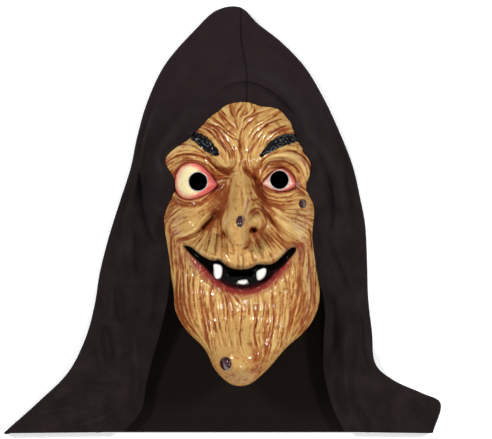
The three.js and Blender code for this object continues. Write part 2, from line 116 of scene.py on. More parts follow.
EYEBALLS = ((LEFT_EYE, 13, 13), (RIGHT_EYE, 10, 8))
EYE_HOLES = ((-32.8, 48), (30.8, 49.4))
EYE_HOLE_RADIUS = 7.2
SLOT = (0.4, -23.9, 10.4, 2.3)
MOUTH_DEPTH = 8
TEETH = (
    ((-20.6, -16.4), (-17, -16.2), (-14, -17.8), (-13.8, -24), (-15, -27.6), (-17.6, -28.4), (-20.2, -26),
     (-20.8, -21)),
    ((13, -22), (15, -20.4), (19, -19.2), (20.6, -20.4), (20.2, -25), (17.6, -28.4), (14.6, -29.8),
     (13, -28)),
    ((-2, -29.6), (1, -28.6), (5.6, -28.6), (6.2, -31), (4, -32.8), (0.6, -32.8), (-2, -31.6)),
)
TOOTH_HEIGHT = 8
WARTS = ((0.3, 19.8, 3.6, 3.8, 3), (49, 30.6, 3.5, 4.2, 3.4), (-11, -93, 5, 6, 4.4))

# Ridges (rise over 0) and deep folds (under 0): rise, half-width, line
FOLDS = (
    # lids and brow bones
    (4.8, 3, ((21, 65), (27, 67.4), (34, 68), (43, 65.6), (49.6, 59.6), (51.6, 53), (50.4, 46.4))),
    (2.6, 2.2, ((25, 73), (36, 75.6), (46, 75), (52.6, 71), (56.6, 64))),
    (2.4, 2, ((17.5, 50), (19.5, 54), (23.6, 58))),
    (3.4, 3.4, ((-57, 66), (-53, 70), (-47.4, 73.5), (-40, 74.4), (-34, 72.4))),
    (2.4, 2, ((-37, 79), (-28.8, 73), (-20.4, 67.8), (-15.6, 63.2), (-10.5, 59))),
    (3, 1.8, ((-51, 59), (-44.4, 64), (-37, 65), (-30, 63.6), (-24.6, 60.4), (-20, 55))),
    (3, 2.2, ((-52, 38), (-47, 33.4), (-40, 31.4), (-32, 33), (-24, 38))),
    (2.4, 1.8, ((18.6, 42.6), (27, 38.6), (33.6, 37.4), (40.8, 39), (46, 41.6))),
    # root of the nose
    (-2.2, 1.3, ((-21, 60), (-16, 57.5), (-11, 54.5), (-6, 52))),
    (-2.2, 1.3, ((2.5, 58), (6, 54.6), (10, 51.4), (14, 49))),
    # folds from the nose to the cheeks
    (-5, 2.7, ((-30, 10), (-27.6, 13.4), (-24, 17), (-19.6, 21), (-14.4, 25))),
    (-2.2, 1.6, ((-52, 1.6), (-46, 3), (-39, 4.6), (-33.6, 7.4), (-30, 10.6))),
    (2.6, 2.4, ((-50, 6), (-42, 7.6), (-34, 11.6), (-29, 17), (-22, 24))),
    (4, 4.6, ((24, 26), (30, 20), (36.5, 13.5), (44, 7.6), (52, 5))),
    (-2.8, 2.4, ((17, 27.4), (22, 21), (28, 13.6), (33.4, 4.6), (42.4, -0.2), (51, -1))),
    (1.8, 1.6, ((16.6, 22.6), (22.3, 15.4), (28, 9.4))),
    (-3, 2.2, ((12, 57), (12, 50), (15.6, 43), (18, 37), (22, 29))),
    # lobes of the upper lip
    (2.2, 2.2, ((-24, 8), (-26, 0), (-29, -8))), (2.2, 2.4, ((-19, 8), (-20, 0), (-21.4, -10))),
    (1.6, 2, ((-13, -2), (-13, -8), (-13, -14))), (1.8, 2.6, ((-6, -8), (-6, -12), (-6, -17))),
    (2.4, 2.4, ((1, -7), (1, -13), (1, -18))), (2.4, 2.4, ((9, -5), (11.6, -10), (12.6, -14))),
    (2.8, 2.2, ((15, -1), (17.6, -7), (19, -13))), (2.8, 2.0, ((19.6, 0), (23.6, -6), (26.4, -11))),
    (2.4, 2.2, ((24, 3), (28.6, -1), (32.6, -6))),
)

LIPS = (
    (3, 2.4,
     ((-43, -9), (-34, -18), (-26, -27), (-12, -38), (4, -40.5), (18, -36.5), (30, -26), (43, -10))),
    (2.4, 2,
     ((-41, 0.6), (-34, -3), (-24, -9.5), (-14, -12), (-5, -16.5), (4, -17), (14, -14), (24, -13),
      (34, -4), (41, -0.4))),
)

# Creases of the skin by region: depth, half-width, then lines
CREASES = (
    # brow, from the trunk over the nose fanning up
    (1.37, 0.81,
     ((-1.5, 60), (1.5, 66), (0, 72), (-0.5, 79), (0.5, 85), (2, 91), (4, 97), (10, 99.5), (16, 102),
      (24, 105)),
     ((3.5, 65), (1, 70), (0.3, 76), (-1.5, 80), (-6, 82), (-10, 85), (-14, 89), (-19, 91.6), (-26, 93),
      (-32, 94)),
     ((-9.5, 61), (-8, 66), (-9, 71), (-12.5, 76), (-15.5, 81), (-18.5, 86.5), (-23, 90), (-30, 92)),
     ((-19, 82), (-23, 87), (-28, 89.6), (-34, 90.5))),
    (1.08, 0.67, ((-3, 86.5), (-7, 88.5), (-11, 92.5), (-14, 97), (-18, 101.5)),
     ((-3, 90.5), (-7.5, 92.5), (-11, 96.5), (-15, 101)), ((-4, 94), (-8, 97), (-12, 101), (-14.5, 104)),
     ((-4.3, 98), (-6.5, 101), (-8, 105), (-8.6, 109)),
     ((-2.5, 84), (-2, 90), (-3.8, 96), (-3, 101), (-1, 104), (1.5, 107)),
     ((-3, 83), (-8, 86), (-14, 92), (-19, 96.5), (-22, 99)),
     ((1, 97), (1, 99.4), (5, 101), (6, 105), (5.5, 110)), ((8, 99.5), (11, 103), (11.4, 109)),
     ((2, 85.5), (4, 90.5), (8, 95), (12, 98.6), (17, 101)),
     ((6, 79), (7.5, 84), (12, 90), (19, 94.5), (26, 98.4), (32, 103)),
     ((9, 80), (13, 86), (20, 91), (28, 95.4), (38, 98)), ((13, 78), (16, 83.6), (20, 87)),
     ((21, 82), (26, 87), (32, 90.4), (41, 92.6)), ((17.5, 75), (19, 81), (23, 86), (28, 88), (36, 88.4))),
    (0.94, 0.59, ((7, 60), (6, 66), (7, 71), (9, 75), (12, 79), (14.5, 84)),
     ((9.5, 60), (8.2, 66), (8.8, 70.4), (11, 74.4), (15, 79)), ((12, 60.5), (10, 66), (10.4, 70)),
     ((-6.6, 61), (-5.6, 67), (-7.5, 72), (-10.4, 76.5), (-13.4, 81)),
     ((-4, 66), (-5, 71), (-9, 77.5), (-13, 83), (-17, 88.5)), ((-2, 66), (-3, 72), (-6, 77.4)),
     ((-11, 66), (-11.6, 72), (-16, 77.6), (-20, 83.5), (-25, 87.6)), ((3.4, 72), (4, 77), (3.2, 82)),
     ((-16, 88), (-22, 92), (-27, 95)), ((-12, 89), (-17, 94), (-22, 96)), ((25, 84), (31, 87), (38, 89.4)),
     ((15, 88), (22, 93.4), (30, 96.6), (35, 97)), ((24, 99), (29, 101.6), (33, 104.6))),
    # round the left eye
    (1.44, 0.81,
     ((-56, 65), (-50, 68), (-44, 69.4), (-36, 68.8), (-29, 67), (-24, 64.4), (-20.6, 60.5), (-16, 56.5),
      (-10, 54), (-5, 55)),
     ((-55, 71), (-50, 75.4), (-43, 77), (-36.5, 75.4), (-30, 71), (-25, 67), (-20, 62.5), (-15, 60)),
     ((-52, 37.5), (-48, 34), (-42, 31.6), (-36, 31.4), (-30, 33), (-24.5, 37), (-20, 41))),
    (1.01, 0.59, ((-53, 62), (-46, 65.6), (-38, 66.4), (-30, 65), (-25, 61), (-21, 56.4), (-18.4, 51.5)),
     ((-54, 58.5), (-48, 62.4), (-42, 64.4), (-34, 64.2), (-28, 62), (-23.5, 58.5), (-19.4, 53)),
     ((-50, 70.4), (-43, 72.2), (-35, 71.4), (-29, 69)), ((-20, 52), (-14, 52.6), (-7, 53.4)),
     ((-19, 56), (-13, 57), (-8, 60.6)),
     ((-53.4, 35), (-49, 31), (-43.4, 29), (-36.6, 28.8), (-30, 30.4), (-25.4, 34)),
     ((-22, 39.6), (-19, 43), (-15, 45)), ((-21, 36.4), (-17.6, 40), (-14, 42)),
     ((-57.5, 26.6), (-53, 29.6), (-49, 31)), ((-57.6, 23.4), (-53, 26.4), (-49, 29.4)),
     ((-56, 19.4), (-51, 23.4), (-47, 27)), ((-54, 16.6), (-49.6, 20.4), (-45.4, 24)),
     ((-51, 14.6), (-47, 18.6), (-43, 21)), ((-48, 13.4), (-44, 16.4), (-40, 17.4))),
    # round the right eye
    (1.51, 0.89,
     ((15.4, 57), (17.4, 64), (25, 70.4), (34, 72), (42, 71.4), (49.4, 67.6), (54.6, 60), (55.4, 52)),
     ((17.6, 57), (21.6, 61.8), (28, 63.8), (36, 63.2), (43, 59.6), (46.8, 54), (47.4, 47)),
     ((11.6, 50), (12.6, 44), (15.6, 37), (20.6, 31.4), (26, 27.6))),
    (1.01, 0.59, ((24, 75), (32, 77), (38, 77.4), (45, 77), (52, 73), (57, 67)),
     ((17, 54), (20, 59.4), (26, 61.4), (33, 59.4), (39, 56.4), (43, 52), (44.4, 47.6)),
     ((16.4, 49.6), (19.6, 54.4), (24.4, 58), (30, 58.8), (36, 58)), ((19, 47.4), (22.4, 51.6), (27, 56)),
     ((18, 45), (22, 42), (28, 39.4), (35, 38.6), (41, 39.6), (46, 42.4)),
     ((17, 41.6), (22, 38), (29, 36), (37, 36), (44, 38)),
     ((14.6, 43), (17.6, 37.6), (23, 34), (31, 32), (39, 32.4), (45, 34.4)),
     ((20, 32), (28, 28), (36, 26.4), (45, 26.4), (54, 25)), ((24, 31), (33, 29.6), (42, 29.4)),
     ((12.4, 40), (15.4, 33), (21, 28)), ((30, 26), (37, 23), (44, 22), (55, 20)),
     ((33, 22), (42, 19), (55, 15.4)), ((38, 18), (47, 14), (56, 9)), ((44, 47), (48, 43.4), (53, 41)),
     ((44.6, 44), (48.6, 40), (52, 37)), ((50, 53), (52.4, 48), (52, 44))),
    # nose and nostrils
    (1.15, 0.74, ((6.8, 22), (9.6, 25.6), (13, 27), (16.6, 25.6), (19.8, 20.6), (20.4, 15), (18.4, 10.6)),
     ((16, 31), (21.5, 22.6), (26, 16.4), (30.4, 9.6)), ((6.6, 5), (7.4, 0.6), (5.6, -3), (2, -4.6)),
     ((-15, 22), (-15, 15), (-12.6, 8), (-8.6, 1))),
    (0.72, 0.67, ((3, 39), (6.4, 38.4), (10, 39.6)), ((7.4, 35), (10.6, 33.4), (15, 34.6)),
     ((5, 30.4), (8, 33), (10.4, 30)), ((8.4, 29), (12, 30.4), (16.4, 29.6)),
     ((-9.4, 47), (-11.6, 38), (-13.4, 29)), ((9, 47), (11, 42), (13.4, 37))),
    # upper lip
    (0.5, 0.6, ((-26, 9), (-31, 2.4), (-36, -2.6)), ((-24, 9), (-28, 0), (-31.4, -7)),
     ((-22, 10), (-24.4, 0), (-27, -9.6)), ((-19.8, 9), (-21.2, 0), (-23.2, -11)),
     ((-17, 9), (-18.4, -1), (-20, -12)), ((-14, 8), (-15, -3), (-16, -12)),
     ((-12, 5), (-12, -5), (-12.6, -14)), ((-10, 0), (-9.6, -8), (-9.4, -15.6)),
     ((-7, -6), (-6, -12), (-7, -18)), ((-2, -8), (-3, -14), (-3.6, -19)), ((2, -8), (3, -13), (3, -19)),
     ((5, -6), (5.4, -12), (7, -18)), ((8, -6), (10, -12), (11.4, -16.4)),
     ((11, -4), (13, -10), (14.6, -15.4)), ((13.6, 5), (17.4, 0), (20, -6), (22.6, -13)),
     ((17, 5), (21, 0), (24.4, -6), (27, -12)), ((20, 5), (24.6, -1), (28.4, -6), (31, -10)),
     ((24, 4), (28.6, -1), (33, -5.4)), ((14.4, 0), (17.4, -6), (19.6, -14)),
     ((28, 4), (32.4, 0), (37, -3.4))),
    # cheeks beside the mouth
    (1.08, 0.67, ((-51.6, 4), (-51, -8), (-50, -20), (-48, -32)), ((-48.4, -1), (-47.4, -11), (-46.4, -22)),
     ((-45, -6), (-45.6, -14), (-44, -22)), ((44.6, -2), (47, -8), (46, -15)),
     ((47, 0.6), (50.4, -7), (49, -18), (47, -28)), ((52, -2), (54, -14), (53, -28)),
     ((42, -14), (43.4, -24), (42, -34)), ((-54.4, 0), (-54, -12), (-52, -24)),
     ((56.6, 2), (57.6, -14), (57, -30)), ((-56, 14), (-55, 5), (-54, -4)), ((54, 14), (56, 4), (56, -6))),
    # chin and jaw, running down from the lip
    (1.1, 0.74,
     ((-46.4, -22), (-47.4, -35), (-46.6, -46), (-44, -56), (-39.4, -64), (-33, -72), (-29, -77)),
     ((-31, -24), (-31, -38), (-30, -48), (-28, -60), (-26, -70), (-24, -79)),
     ((-12, -38), (-10.4, -46), (-10, -57), (-11, -66), (-9, -76)),
     ((1.4, -46), (1, -60), (0, -72), (2.4, -83)),
     ((14, -42), (14, -52), (12.6, -62), (11, -70), (13, -78), (16, -85)),
     ((25, -36), (25, -48), (26, -60), (24.6, -72), (22.6, -81)),
     ((40, -22), (41, -36), (39, -48), (38.4, -60), (36, -74)),
     ((47, -20), (46, -32), (44, -48), (41, -60), (37.6, -72))),
    (0.75, 0.66, ((-44, -12), (-44.6, -30), (-43.6, -44), (-41, -56), (-37, -64)),
     ((-41, -14), (-41, -30), (-39, -46), (-37, -58), (-33.4, -67)),
     ((-36, -20), (-36, -35), (-35, -50), (-33, -62)),
     ((-27, -27), (-27, -40), (-27, -50), (-25, -62), (-22, -75)),
     ((-23, -33), (-23, -42), (-22, -52), (-20, -62), (-18, -75)),
     ((-18, -38), (-19, -47), (-17, -56), (-15, -66), (-12, -75)), ((-15, -36), (-13, -45), (-12.4, -55)),
     ((-4, -43), (-1, -45.4), (0.4, -49)), ((7.4, -49), (7, -57)), ((10, -50), (12, -56), (14, -62)),
     ((9.4, -60), (8, -67), (6.4, -73)), ((18.4, -40), (19, -50), (17, -62), (15, -72), (17, -80)),
     ((30, -33), (31, -45), (31, -58), (29, -71)), ((36, -26), (37, -40), (35, -54), (34, -68), (32, -78)),
     ((52, -14), (52, -30), (50.4, -44), (48, -56), (42, -68)),
     ((55.6, -20), (56, -36), (54.4, -50), (50, -61), (44, -71)),
     ((58.4, -24), (59, -40), (57, -54), (52, -64)), ((-34, -34), (-33.4, -46), (-31.6, -56)),
     ((-7, -58), (-6, -66), (-4, -72)), ((21.6, -44), (22, -56), (20.6, -66)),
     ((33.4, -34), (34, -46), (33, -58)), ((-49, -26), (-50, -40), (-48, -52), (-44, -60)),
     ((5, -62), (3.6, -70), (5, -78)), ((28, -44), (28.6, -54), (27.6, -64)),
     ((-25, -48), (-24.4, -58), (-22.6, -68)), ((-20.6, -44), (-20, -54), (-18, -64))),
)

# Smooth pads, where the streaks fade: x, y, radius across, radius up, share that goes
PADS = (
    (-40, 17, 12, 8, 0.8), (38, 14, 10, 7, 0.7), (-17, 30, 6, 9, 0.8), (28, 97, 9, 5, 0.6),
    (4, -66, 5, 13, 0.6), (-35, -54, 6, 10, 0.5), (42, 66, 9, 5, 0.7),
)

# Brown wash rubbed on, and wiped off where under 0: x, y, radius across, radius up, amount
# The patches beside the nose and under its tip are painted shade as well, the one under the tip the nose's
# painted shadow.
WASHES_AND_SHADE = (
    (-17, 46, 4.5, 10, 1.3), (-18, 33, 6, 8, 1.4), (-12, 30, 3, 10, 0.7), (-14, 57, 10, 5, 1),
    (8, 57, 7, 5, 0.9), (13.5, 51, 4, 8, 1.3), (18, 40, 4, 7, 0.9), (23, 20, 4.4, 10, 1.1),
    (24, 7, 6, 7, 0.7), (11, 1, 4, 5, 1.2), (-13, 45, 3.6, 12, 0.9), (12.5, 24.4, 5.5, 2.2, 1.4),
    (15, 10, 4, 2, 0.9), (13.5, 4.4, 4.6, 4.4, 0.7), (16, 4, 5, 5, 0.5), (-20, 13, 6, 5, 1),
    (-26, 12, 5, 4, 0.8), (-15, 5, 4, 6, 0.3), (-54, 54, 4, 9, 1.1), (-50, 34, 6, 6, 0.8),
    (48, 43, 6, 6, 1.1), (-43, 2, 9, 4, 0.9), (40, -3, 9, 4, 0.7), (47, -8, 5, 9, 0.8),
    (14, -87, 6, 10, 1.1), (11, -99, 5, 3, 0.9), (-8, -102, 4, 3, 0.5), (3, -104, 3, 2, 0.5),
    (-24, 89, 10, 6, 0.8), (-12, 82, 6, 6, 0.6), (-47, -14, 5, 14, 0.7), (42, -26, 5, 16, 0.6),
    (50, 64, 4, 9, 0.9), (-43, -50, 8, 20, 1.2), (30, 88, 12, 4, 0.7), (-58, 62, 4, 8, 0.8),
    (-58, 18, 4, 12, 0.7), (-36, 66, 18, 5, 0.8), (30, 62, 14, 5, 0.7), (-36, 30, 14, 4, 0.6),
    (4, 102, 9, 4, 0.5), (48, -50, 7, 20, 1.0), (-26, -62, 5, 14, 0.6), (22, -66, 6, 14, 0.6),
    (-8, -40, 8, 4, 0.5), (0, -60, 40, 24, 0.2), (-54, 10, 5, 10, 0.6), (52, 20, 5, 14, 0.6),
    (28, 30, 10, 6, 0.7), (-30, 24, 8, 4, 0.4), (-17, 25, 5, 8, 0.8), (25, 4, 9, 6, 0.5),
    (36, 2, 8, 4, 0.4), (-44, 40, 12, 10, 0.3), (-38, 14, 9, 4.6, -0.6), (40, 10, 6, 4.4, -0.3),
    (30, 93, 8, 4, -0.8), (4, -70, 4, 12, -0.7), (-35, -54, 4, 9, -0.7), (14, -60, 3.4, 7, -0.6),
    (-38, 69, 12, 3, -0.5), (-16, 64, 6, 5, -0.6),
)


def smooth(low, high, value):
    part = np.clip((value - low) / (high - low), 0, 1)
    return part * part * (3 - 2 * part)


def through(pairs, x):
    """Smooth curve through (x, y) pairs in falling order of x."""
    table = np.array(pairs, float)
    last = len(table) - 1
    k = np.clip(np.searchsorted(-table[:, 0], -x, side="right") - 1, 0, last - 1)
    part = np.clip((x - table[k, 0]) / (table[k + 1, 0] - table[k, 0]), 0, 1)
    y0, y1 = table[np.maximum(k - 1, 0), 1], table[k, 1]
    y2, y3 = table[k + 1, 1], table[np.minimum(k + 2, last), 1]
    bend = 2 * y0 - 5 * y1 + 4 * y2 - y3
    return y1 + 0.5 * part * (y2 - y0 + part * (bend + part * (3 * (y1 - y2) + y3 - y0)))


def rounded(points, closed=False, per=8):
    """Points along a centripetal curve through the given ones."""
    given = np.array(points, float)
    if closed:
        ring = np.vstack((given[-1:], given, given[:2]))
    else:
        ring = np.vstack((2 * given[:1] - given[1:2], given, 2 * given[-1:] - given[-2:-1]))
    made = []
    for p0, p1, p2, p3 in zip(ring, ring[1:], ring[2:], ring[3:]):
        t1 = np.linalg.norm(p1 - p0) ** 0.5
        t2 = t1 + np.linalg.norm(p2 - p1) ** 0.5
        t3 = t2 + np.linalg.norm(p3 - p2) ** 0.5
        t = np.linspace(t1, t2, per, endpoint=False)[:, None]
        a1 = p0 + (p1 - p0) * t / t1
        a2 = p1 + (p2 - p1) * (t - t1) / (t2 - t1)
        a3 = p2 + (p3 - p2) * (t - t2) / (t3 - t2)
        b1 = a1 + (a2 - a1) * t / t2
        b2 = a2 + (a3 - a2) * (t - t1) / (t3 - t1)
        made.append(b1 + (b2 - b1) * (t - t1) / (t2 - t1))
    if not closed:
        made.append(given[-1:])
    return np.vstack(made)


def to_line(x, y, line, within):
    """Distance to a line and place along it, 0 to 1, for the points near it."""
    near = np.flatnonzero((x > line[:, 0].min() - within) & (x < line[:, 0].max() + within)
                          & (y > line[:, 1].min() - within) & (y < line[:, 1].max() + within))
    px, py = x[near], y[near]
    best = np.full(len(near), 1e9)
    place = np.zeros(len(near))
    for k, (a, b) in enumerate(zip(line, line[1:])):
        run = b - a
        part = np.clip(((px - a[0]) * run[0] + (py - a[1]) * run[1]) / max(run @ run, 1e-9), 0, 1)
        away = np.hypot(px - a[0] - part * run[0], py - a[1] - part * run[1])
        closer = away < best
        best[closer] = away[closer]
        place[closer] = (k + part[closer]) / (len(line) - 1)
    return near, best, place


def inside(x, y, outline, reach=12):
    """Depth inside a closed outline, negative outside it, no lower than -reach."""
    ring = rounded(outline, closed=True, per=5)
    ring = np.vstack((ring, ring[:1]))
    depth = np.full(x.shape, -float(reach))
    near, away, _ = to_line(x, y, ring, reach)
    px, py = x[near], y[near]
    crossings = np.zeros(len(near), int)
    for a, b in zip(ring, ring[1:]):
        spans = (a[1] > py) != (b[1] > py)
        with np.errstate(divide="ignore", invalid="ignore"):
            cut = a[0] + (py - a[1]) * (b[0] - a[0]) / (b[1] - a[1])
        crossings += spans & (px < cut)
    depth[near] = np.where(crossings % 2 == 1, away, -np.minimum(away, reach))
    return depth


outline_ring = rounded(FACE_OUTLINE, closed=True, per=15) - (0, FACE_CENTRE_Y)
outline_angles = np.arctan2(outline_ring[:, 1], outline_ring[:, 0])
outline_order = np.argsort(outline_angles)


def reach_of(angle):
    """Distance of the face's plan outline from its centre, by direction."""
    radii = np.hypot(outline_ring[:, 0], outline_ring[:, 1])[outline_order]
    return np.interp(angle, outline_angles[outline_order], radii, period=2 * math.pi)


def swell(x, y, form):
    return form[4] * np.exp(-((x - form[0]) / form[2]) ** 2 - ((y - form[1]) / form[3]) ** 2)


def dome(x, y, form, power=0.5):
    away = ((x - form[0]) / form[2]) ** 2 + ((y - form[1]) / form[3]) ** 2
    return form[4] * np.maximum(0, 1 - away) ** power


def nose(x, y):
    rise, half, middle = (through([(entry[0], entry[k]) for entry in NOSE], y) for k in (1, 2, 3))
    foot = smooth(NOSE_BASE_Y - NOSE_BASE_RUN, NOSE_BASE_Y + NOSE_BASE_RUN, y)
    return np.where(y > NOSE[0][0], 0, rise * foot * np.exp(-np.abs((x - middle) / half) ** NOSE_SQUARENESS))


def pillow(x, y):
    """The bare form: its height, the share of the features it keeps, and the band where it rounds down to
    its rim.
    """
    angle = np.arctan2(y - FACE_CENTRE_Y, x)
    rho = np.minimum(1, np.hypot(x, y - FACE_CENTRE_Y) / reach_of(angle))
    turn = np.sin(angle)
    square, to_ends, at_tip = SQUARENESS
    power = square + to_ends * np.abs(turn) ** 3 + at_tip * np.maximum(0, -turn) ** 12
    side, at_brow, at_chin = SHOULDER
    low = side + at_brow * np.maximum(0, turn) ** 2 + at_chin * np.maximum(0, -turn) ** 2
    rise = np.maximum(1 - rho ** power, 0) ** SHOULDER_POWER
    return low + (through(MIDLINE, y) - low) * rise, smooth(1, 0.86, rho), smooth(0.72, 0.98, rho)


def add_line(x, y, line, half, rise, total, blunt=0.35):
    near, away, place = to_line(x, y, line, 4 * half)
    taper = blunt + (1 - blunt) * smooth(0, 0.2, place) * smooth(1, 0.8, place)
    total[near] += rise * taper * np.exp(-(away / half) ** 2)


def add_crease(x, y, line, half, depth, relief, paint, dice):
    """A crease of uneven depth and width between two soft shoulders, and its paint."""
    curve = rounded(line, per=5)
    near, away, place = to_line(x, y, curve, 6 * half)
    length = np.linalg.norm(np.diff(curve, axis=0), axis=1).sum()
    knots = np.linspace(0, 1, max(4, int(length / 3)))
    deep = depth * np.interp(place, knots, dice.uniform(0.35, 1.25, len(knots)))
    wide = half * np.interp(place, knots, dice.uniform(0.6, 1.2, len(knots)))
    taper = 0.15 + 0.85 * smooth(0, 0.2, place) * smooth(1, 0.8, place)
    cut = np.exp(-(away / wide) ** 2)
    shoulder = np.exp(-(away / half / 2.4) ** 2)
    smear = np.exp(-(away / half / 2.6) ** 2)
    relief[near] += deep * taper * (0.3 * shoulder - cut)
    paint[near] += (0.3 + 0.6 * deep) * taper * (cut + 0.25 * smear)


# Fine wrinkles run along the traced creases: a field of directions is worked out from
# them on a raster, and random grain is drawn out along it into streaks
FLOW_STEP = 0.5
FLOW_LEFT, FLOW_RIGHT = -68, 68
FLOW_LOW, FLOW_HIGH = -118, 126
FLOW_REACH = 9
STREAK_STRIDE = 0.7
STREAK_STRIDES = 12
FLOW_GUIDES = (
    ((0, 52), (-0.5, 30), (-1, 8)), ((-6, 48), (-8, 30), (-9, 12)), ((6, 48), (8, 34), (9, 22)),
    ((-56, 10), (-46, 14), (-36, 20), (-26, 27), (-18, 36)), ((-54, 2), (-44, 8), (-34, 13), (-27, 20)),
    ((56, 4), (46, 10), (36, 17), (26, 26), (18, 34)), ((-14, -88), (-4, -100), (0, -109)),
    ((14, -88), (8, -98), (2, -108)), ((-24, -84), (-14, -98), (-6, -107)),
    ((24, -86), (16, -98), (8, -107)),
)
flow_x, flow_y = np.meshgrid(np.arange(FLOW_LEFT, FLOW_RIGHT + FLOW_STEP, FLOW_STEP),
                             np.arange(FLOW_LOW, FLOW_HIGH + FLOW_STEP, FLOW_STEP))


def flow_field():
    """Twice the angle of the flow as a cosine and a sine, and how dense the creases are."""
    along, across, dense = (np.zeros(flow_x.size) for _ in range(3))
    px, py = flow_x.ravel(), flow_y.ravel()
    lines = [(line, 1) for _, _, *group in CREASES for line in group]
    lines += [(fold[2], 1) for fold in FOLDS] + [(line, 0) for line in FLOW_GUIDES]
    for line, counts in lines:
        curve = rounded(line, per=4)
        for a, b in zip(curve, curve[1:]):
            run = b - a
            length = math.hypot(*run)
            near, away, _ = to_line(px, py, np.array((a, b)), FLOW_REACH)
            weight = length * (np.exp(-(away / 3.5) ** 2) + 0.01)
            twice = 2 * math.atan2(run[1], run[0])
            along[near] += weight * math.cos(twice)
            across[near] += weight * math.sin(twice)
            dense[near] += counts * weight
    total = np.hypot(along, across) + 1e-6
    return [part.reshape(flow_x.shape) for part in (along / total, across / total, dense)]


def read_raster(raster, x, y):
    """Values of a raster between its places."""
    column = np.clip((x - FLOW_LEFT) / FLOW_STEP, 0, raster.shape[1] - 1.001)
    row = np.clip((y - FLOW_LOW) / FLOW_STEP, 0, raster.shape[0] - 1.001)
    i, j = column.astype(int), row.astype(int)
    part, rise = column - i, row - j
    lower = raster[j, i] * (1 - part) + raster[j, i + 1] * part
    upper = raster[j + 1, i] * (1 - part) + raster[j + 1, i + 1] * part
    return lower * (1 - rise) + upper * rise


def blur(field, reach):
    """Mean of a grid over a square of cells."""
    out = field
    for axis in (0, 1):
        pad = [(0, 0), (0, 0)]
        pad[axis] = (reach + 1, reach)
        total = np.cumsum(np.pad(out, pad, mode="edge"), axis=axis)
        length = out.shape[axis]
        high = np.take(total, range(2 * reach + 1, 2 * reach + 1 + length), axis=axis)
        low = np.take(total, range(length), axis=axis)
        out = (high - low) / (2 * reach + 1)
    return out


def streaks(cosine, sine, grain, seed):
    """Random grain drawn out along the flow, with mean 0 and spread 1."""
    noise = blur(np.random.default_rng(seed).random(flow_x.shape), grain)
    total = noise.copy()
    for sign in (1, -1):
        px, py = flow_x.copy(), flow_y.copy()
        angle = np.arctan2(sine, cosine) / 2
        step_x, step_y = sign * np.cos(angle), sign * np.sin(angle)
        for _ in range(STREAK_STRIDES):
            px += step_x * STREAK_STRIDE
            py += step_y * STREAK_STRIDE
            angle = np.arctan2(read_raster(sine, px, py), read_raster(cosine, px, py)) / 2
            next_x, next_y = np.cos(angle), np.sin(angle)
            same = np.sign(next_x * step_x + next_y * step_y + 1e-9)
            step_x, step_y = next_x * same, next_y * same
            total += read_raster(noise, px, py)
    total -= blur(total, 12)
    return total / total.std()


flow_cosine, flow_sine, crease_density = flow_field()
flow_fine = streaks(flow_cosine, flow_sine, 0, 11)
flow_broad = streaks(flow_cosine, flow_sine, 1, 12)
flow_room = np.clip(crease_density / 1.6, 0.12, 1)
lumps = blur(np.random.default_rng(21).standard_normal(flow_x.shape), 1) * 3

# Depth that a painted feature has far outside its outline
OUTSIDE = -9.0


def hole_gap(x, y, hole):
    """Distance outside a hole's edge: round holes, and one slot with round ends."""
    if len(hole) == 2:
        return np.hypot(x - hole[0], y - hole[1]) - EYE_HOLE_RADIUS
    half_run = hole[2] - hole[3]
    return np.hypot(np.maximum(np.abs(x - hole[0]) - half_run, 0), y - hole[1]) - hole[3]


HOLES = (*EYE_HOLES, SLOT)


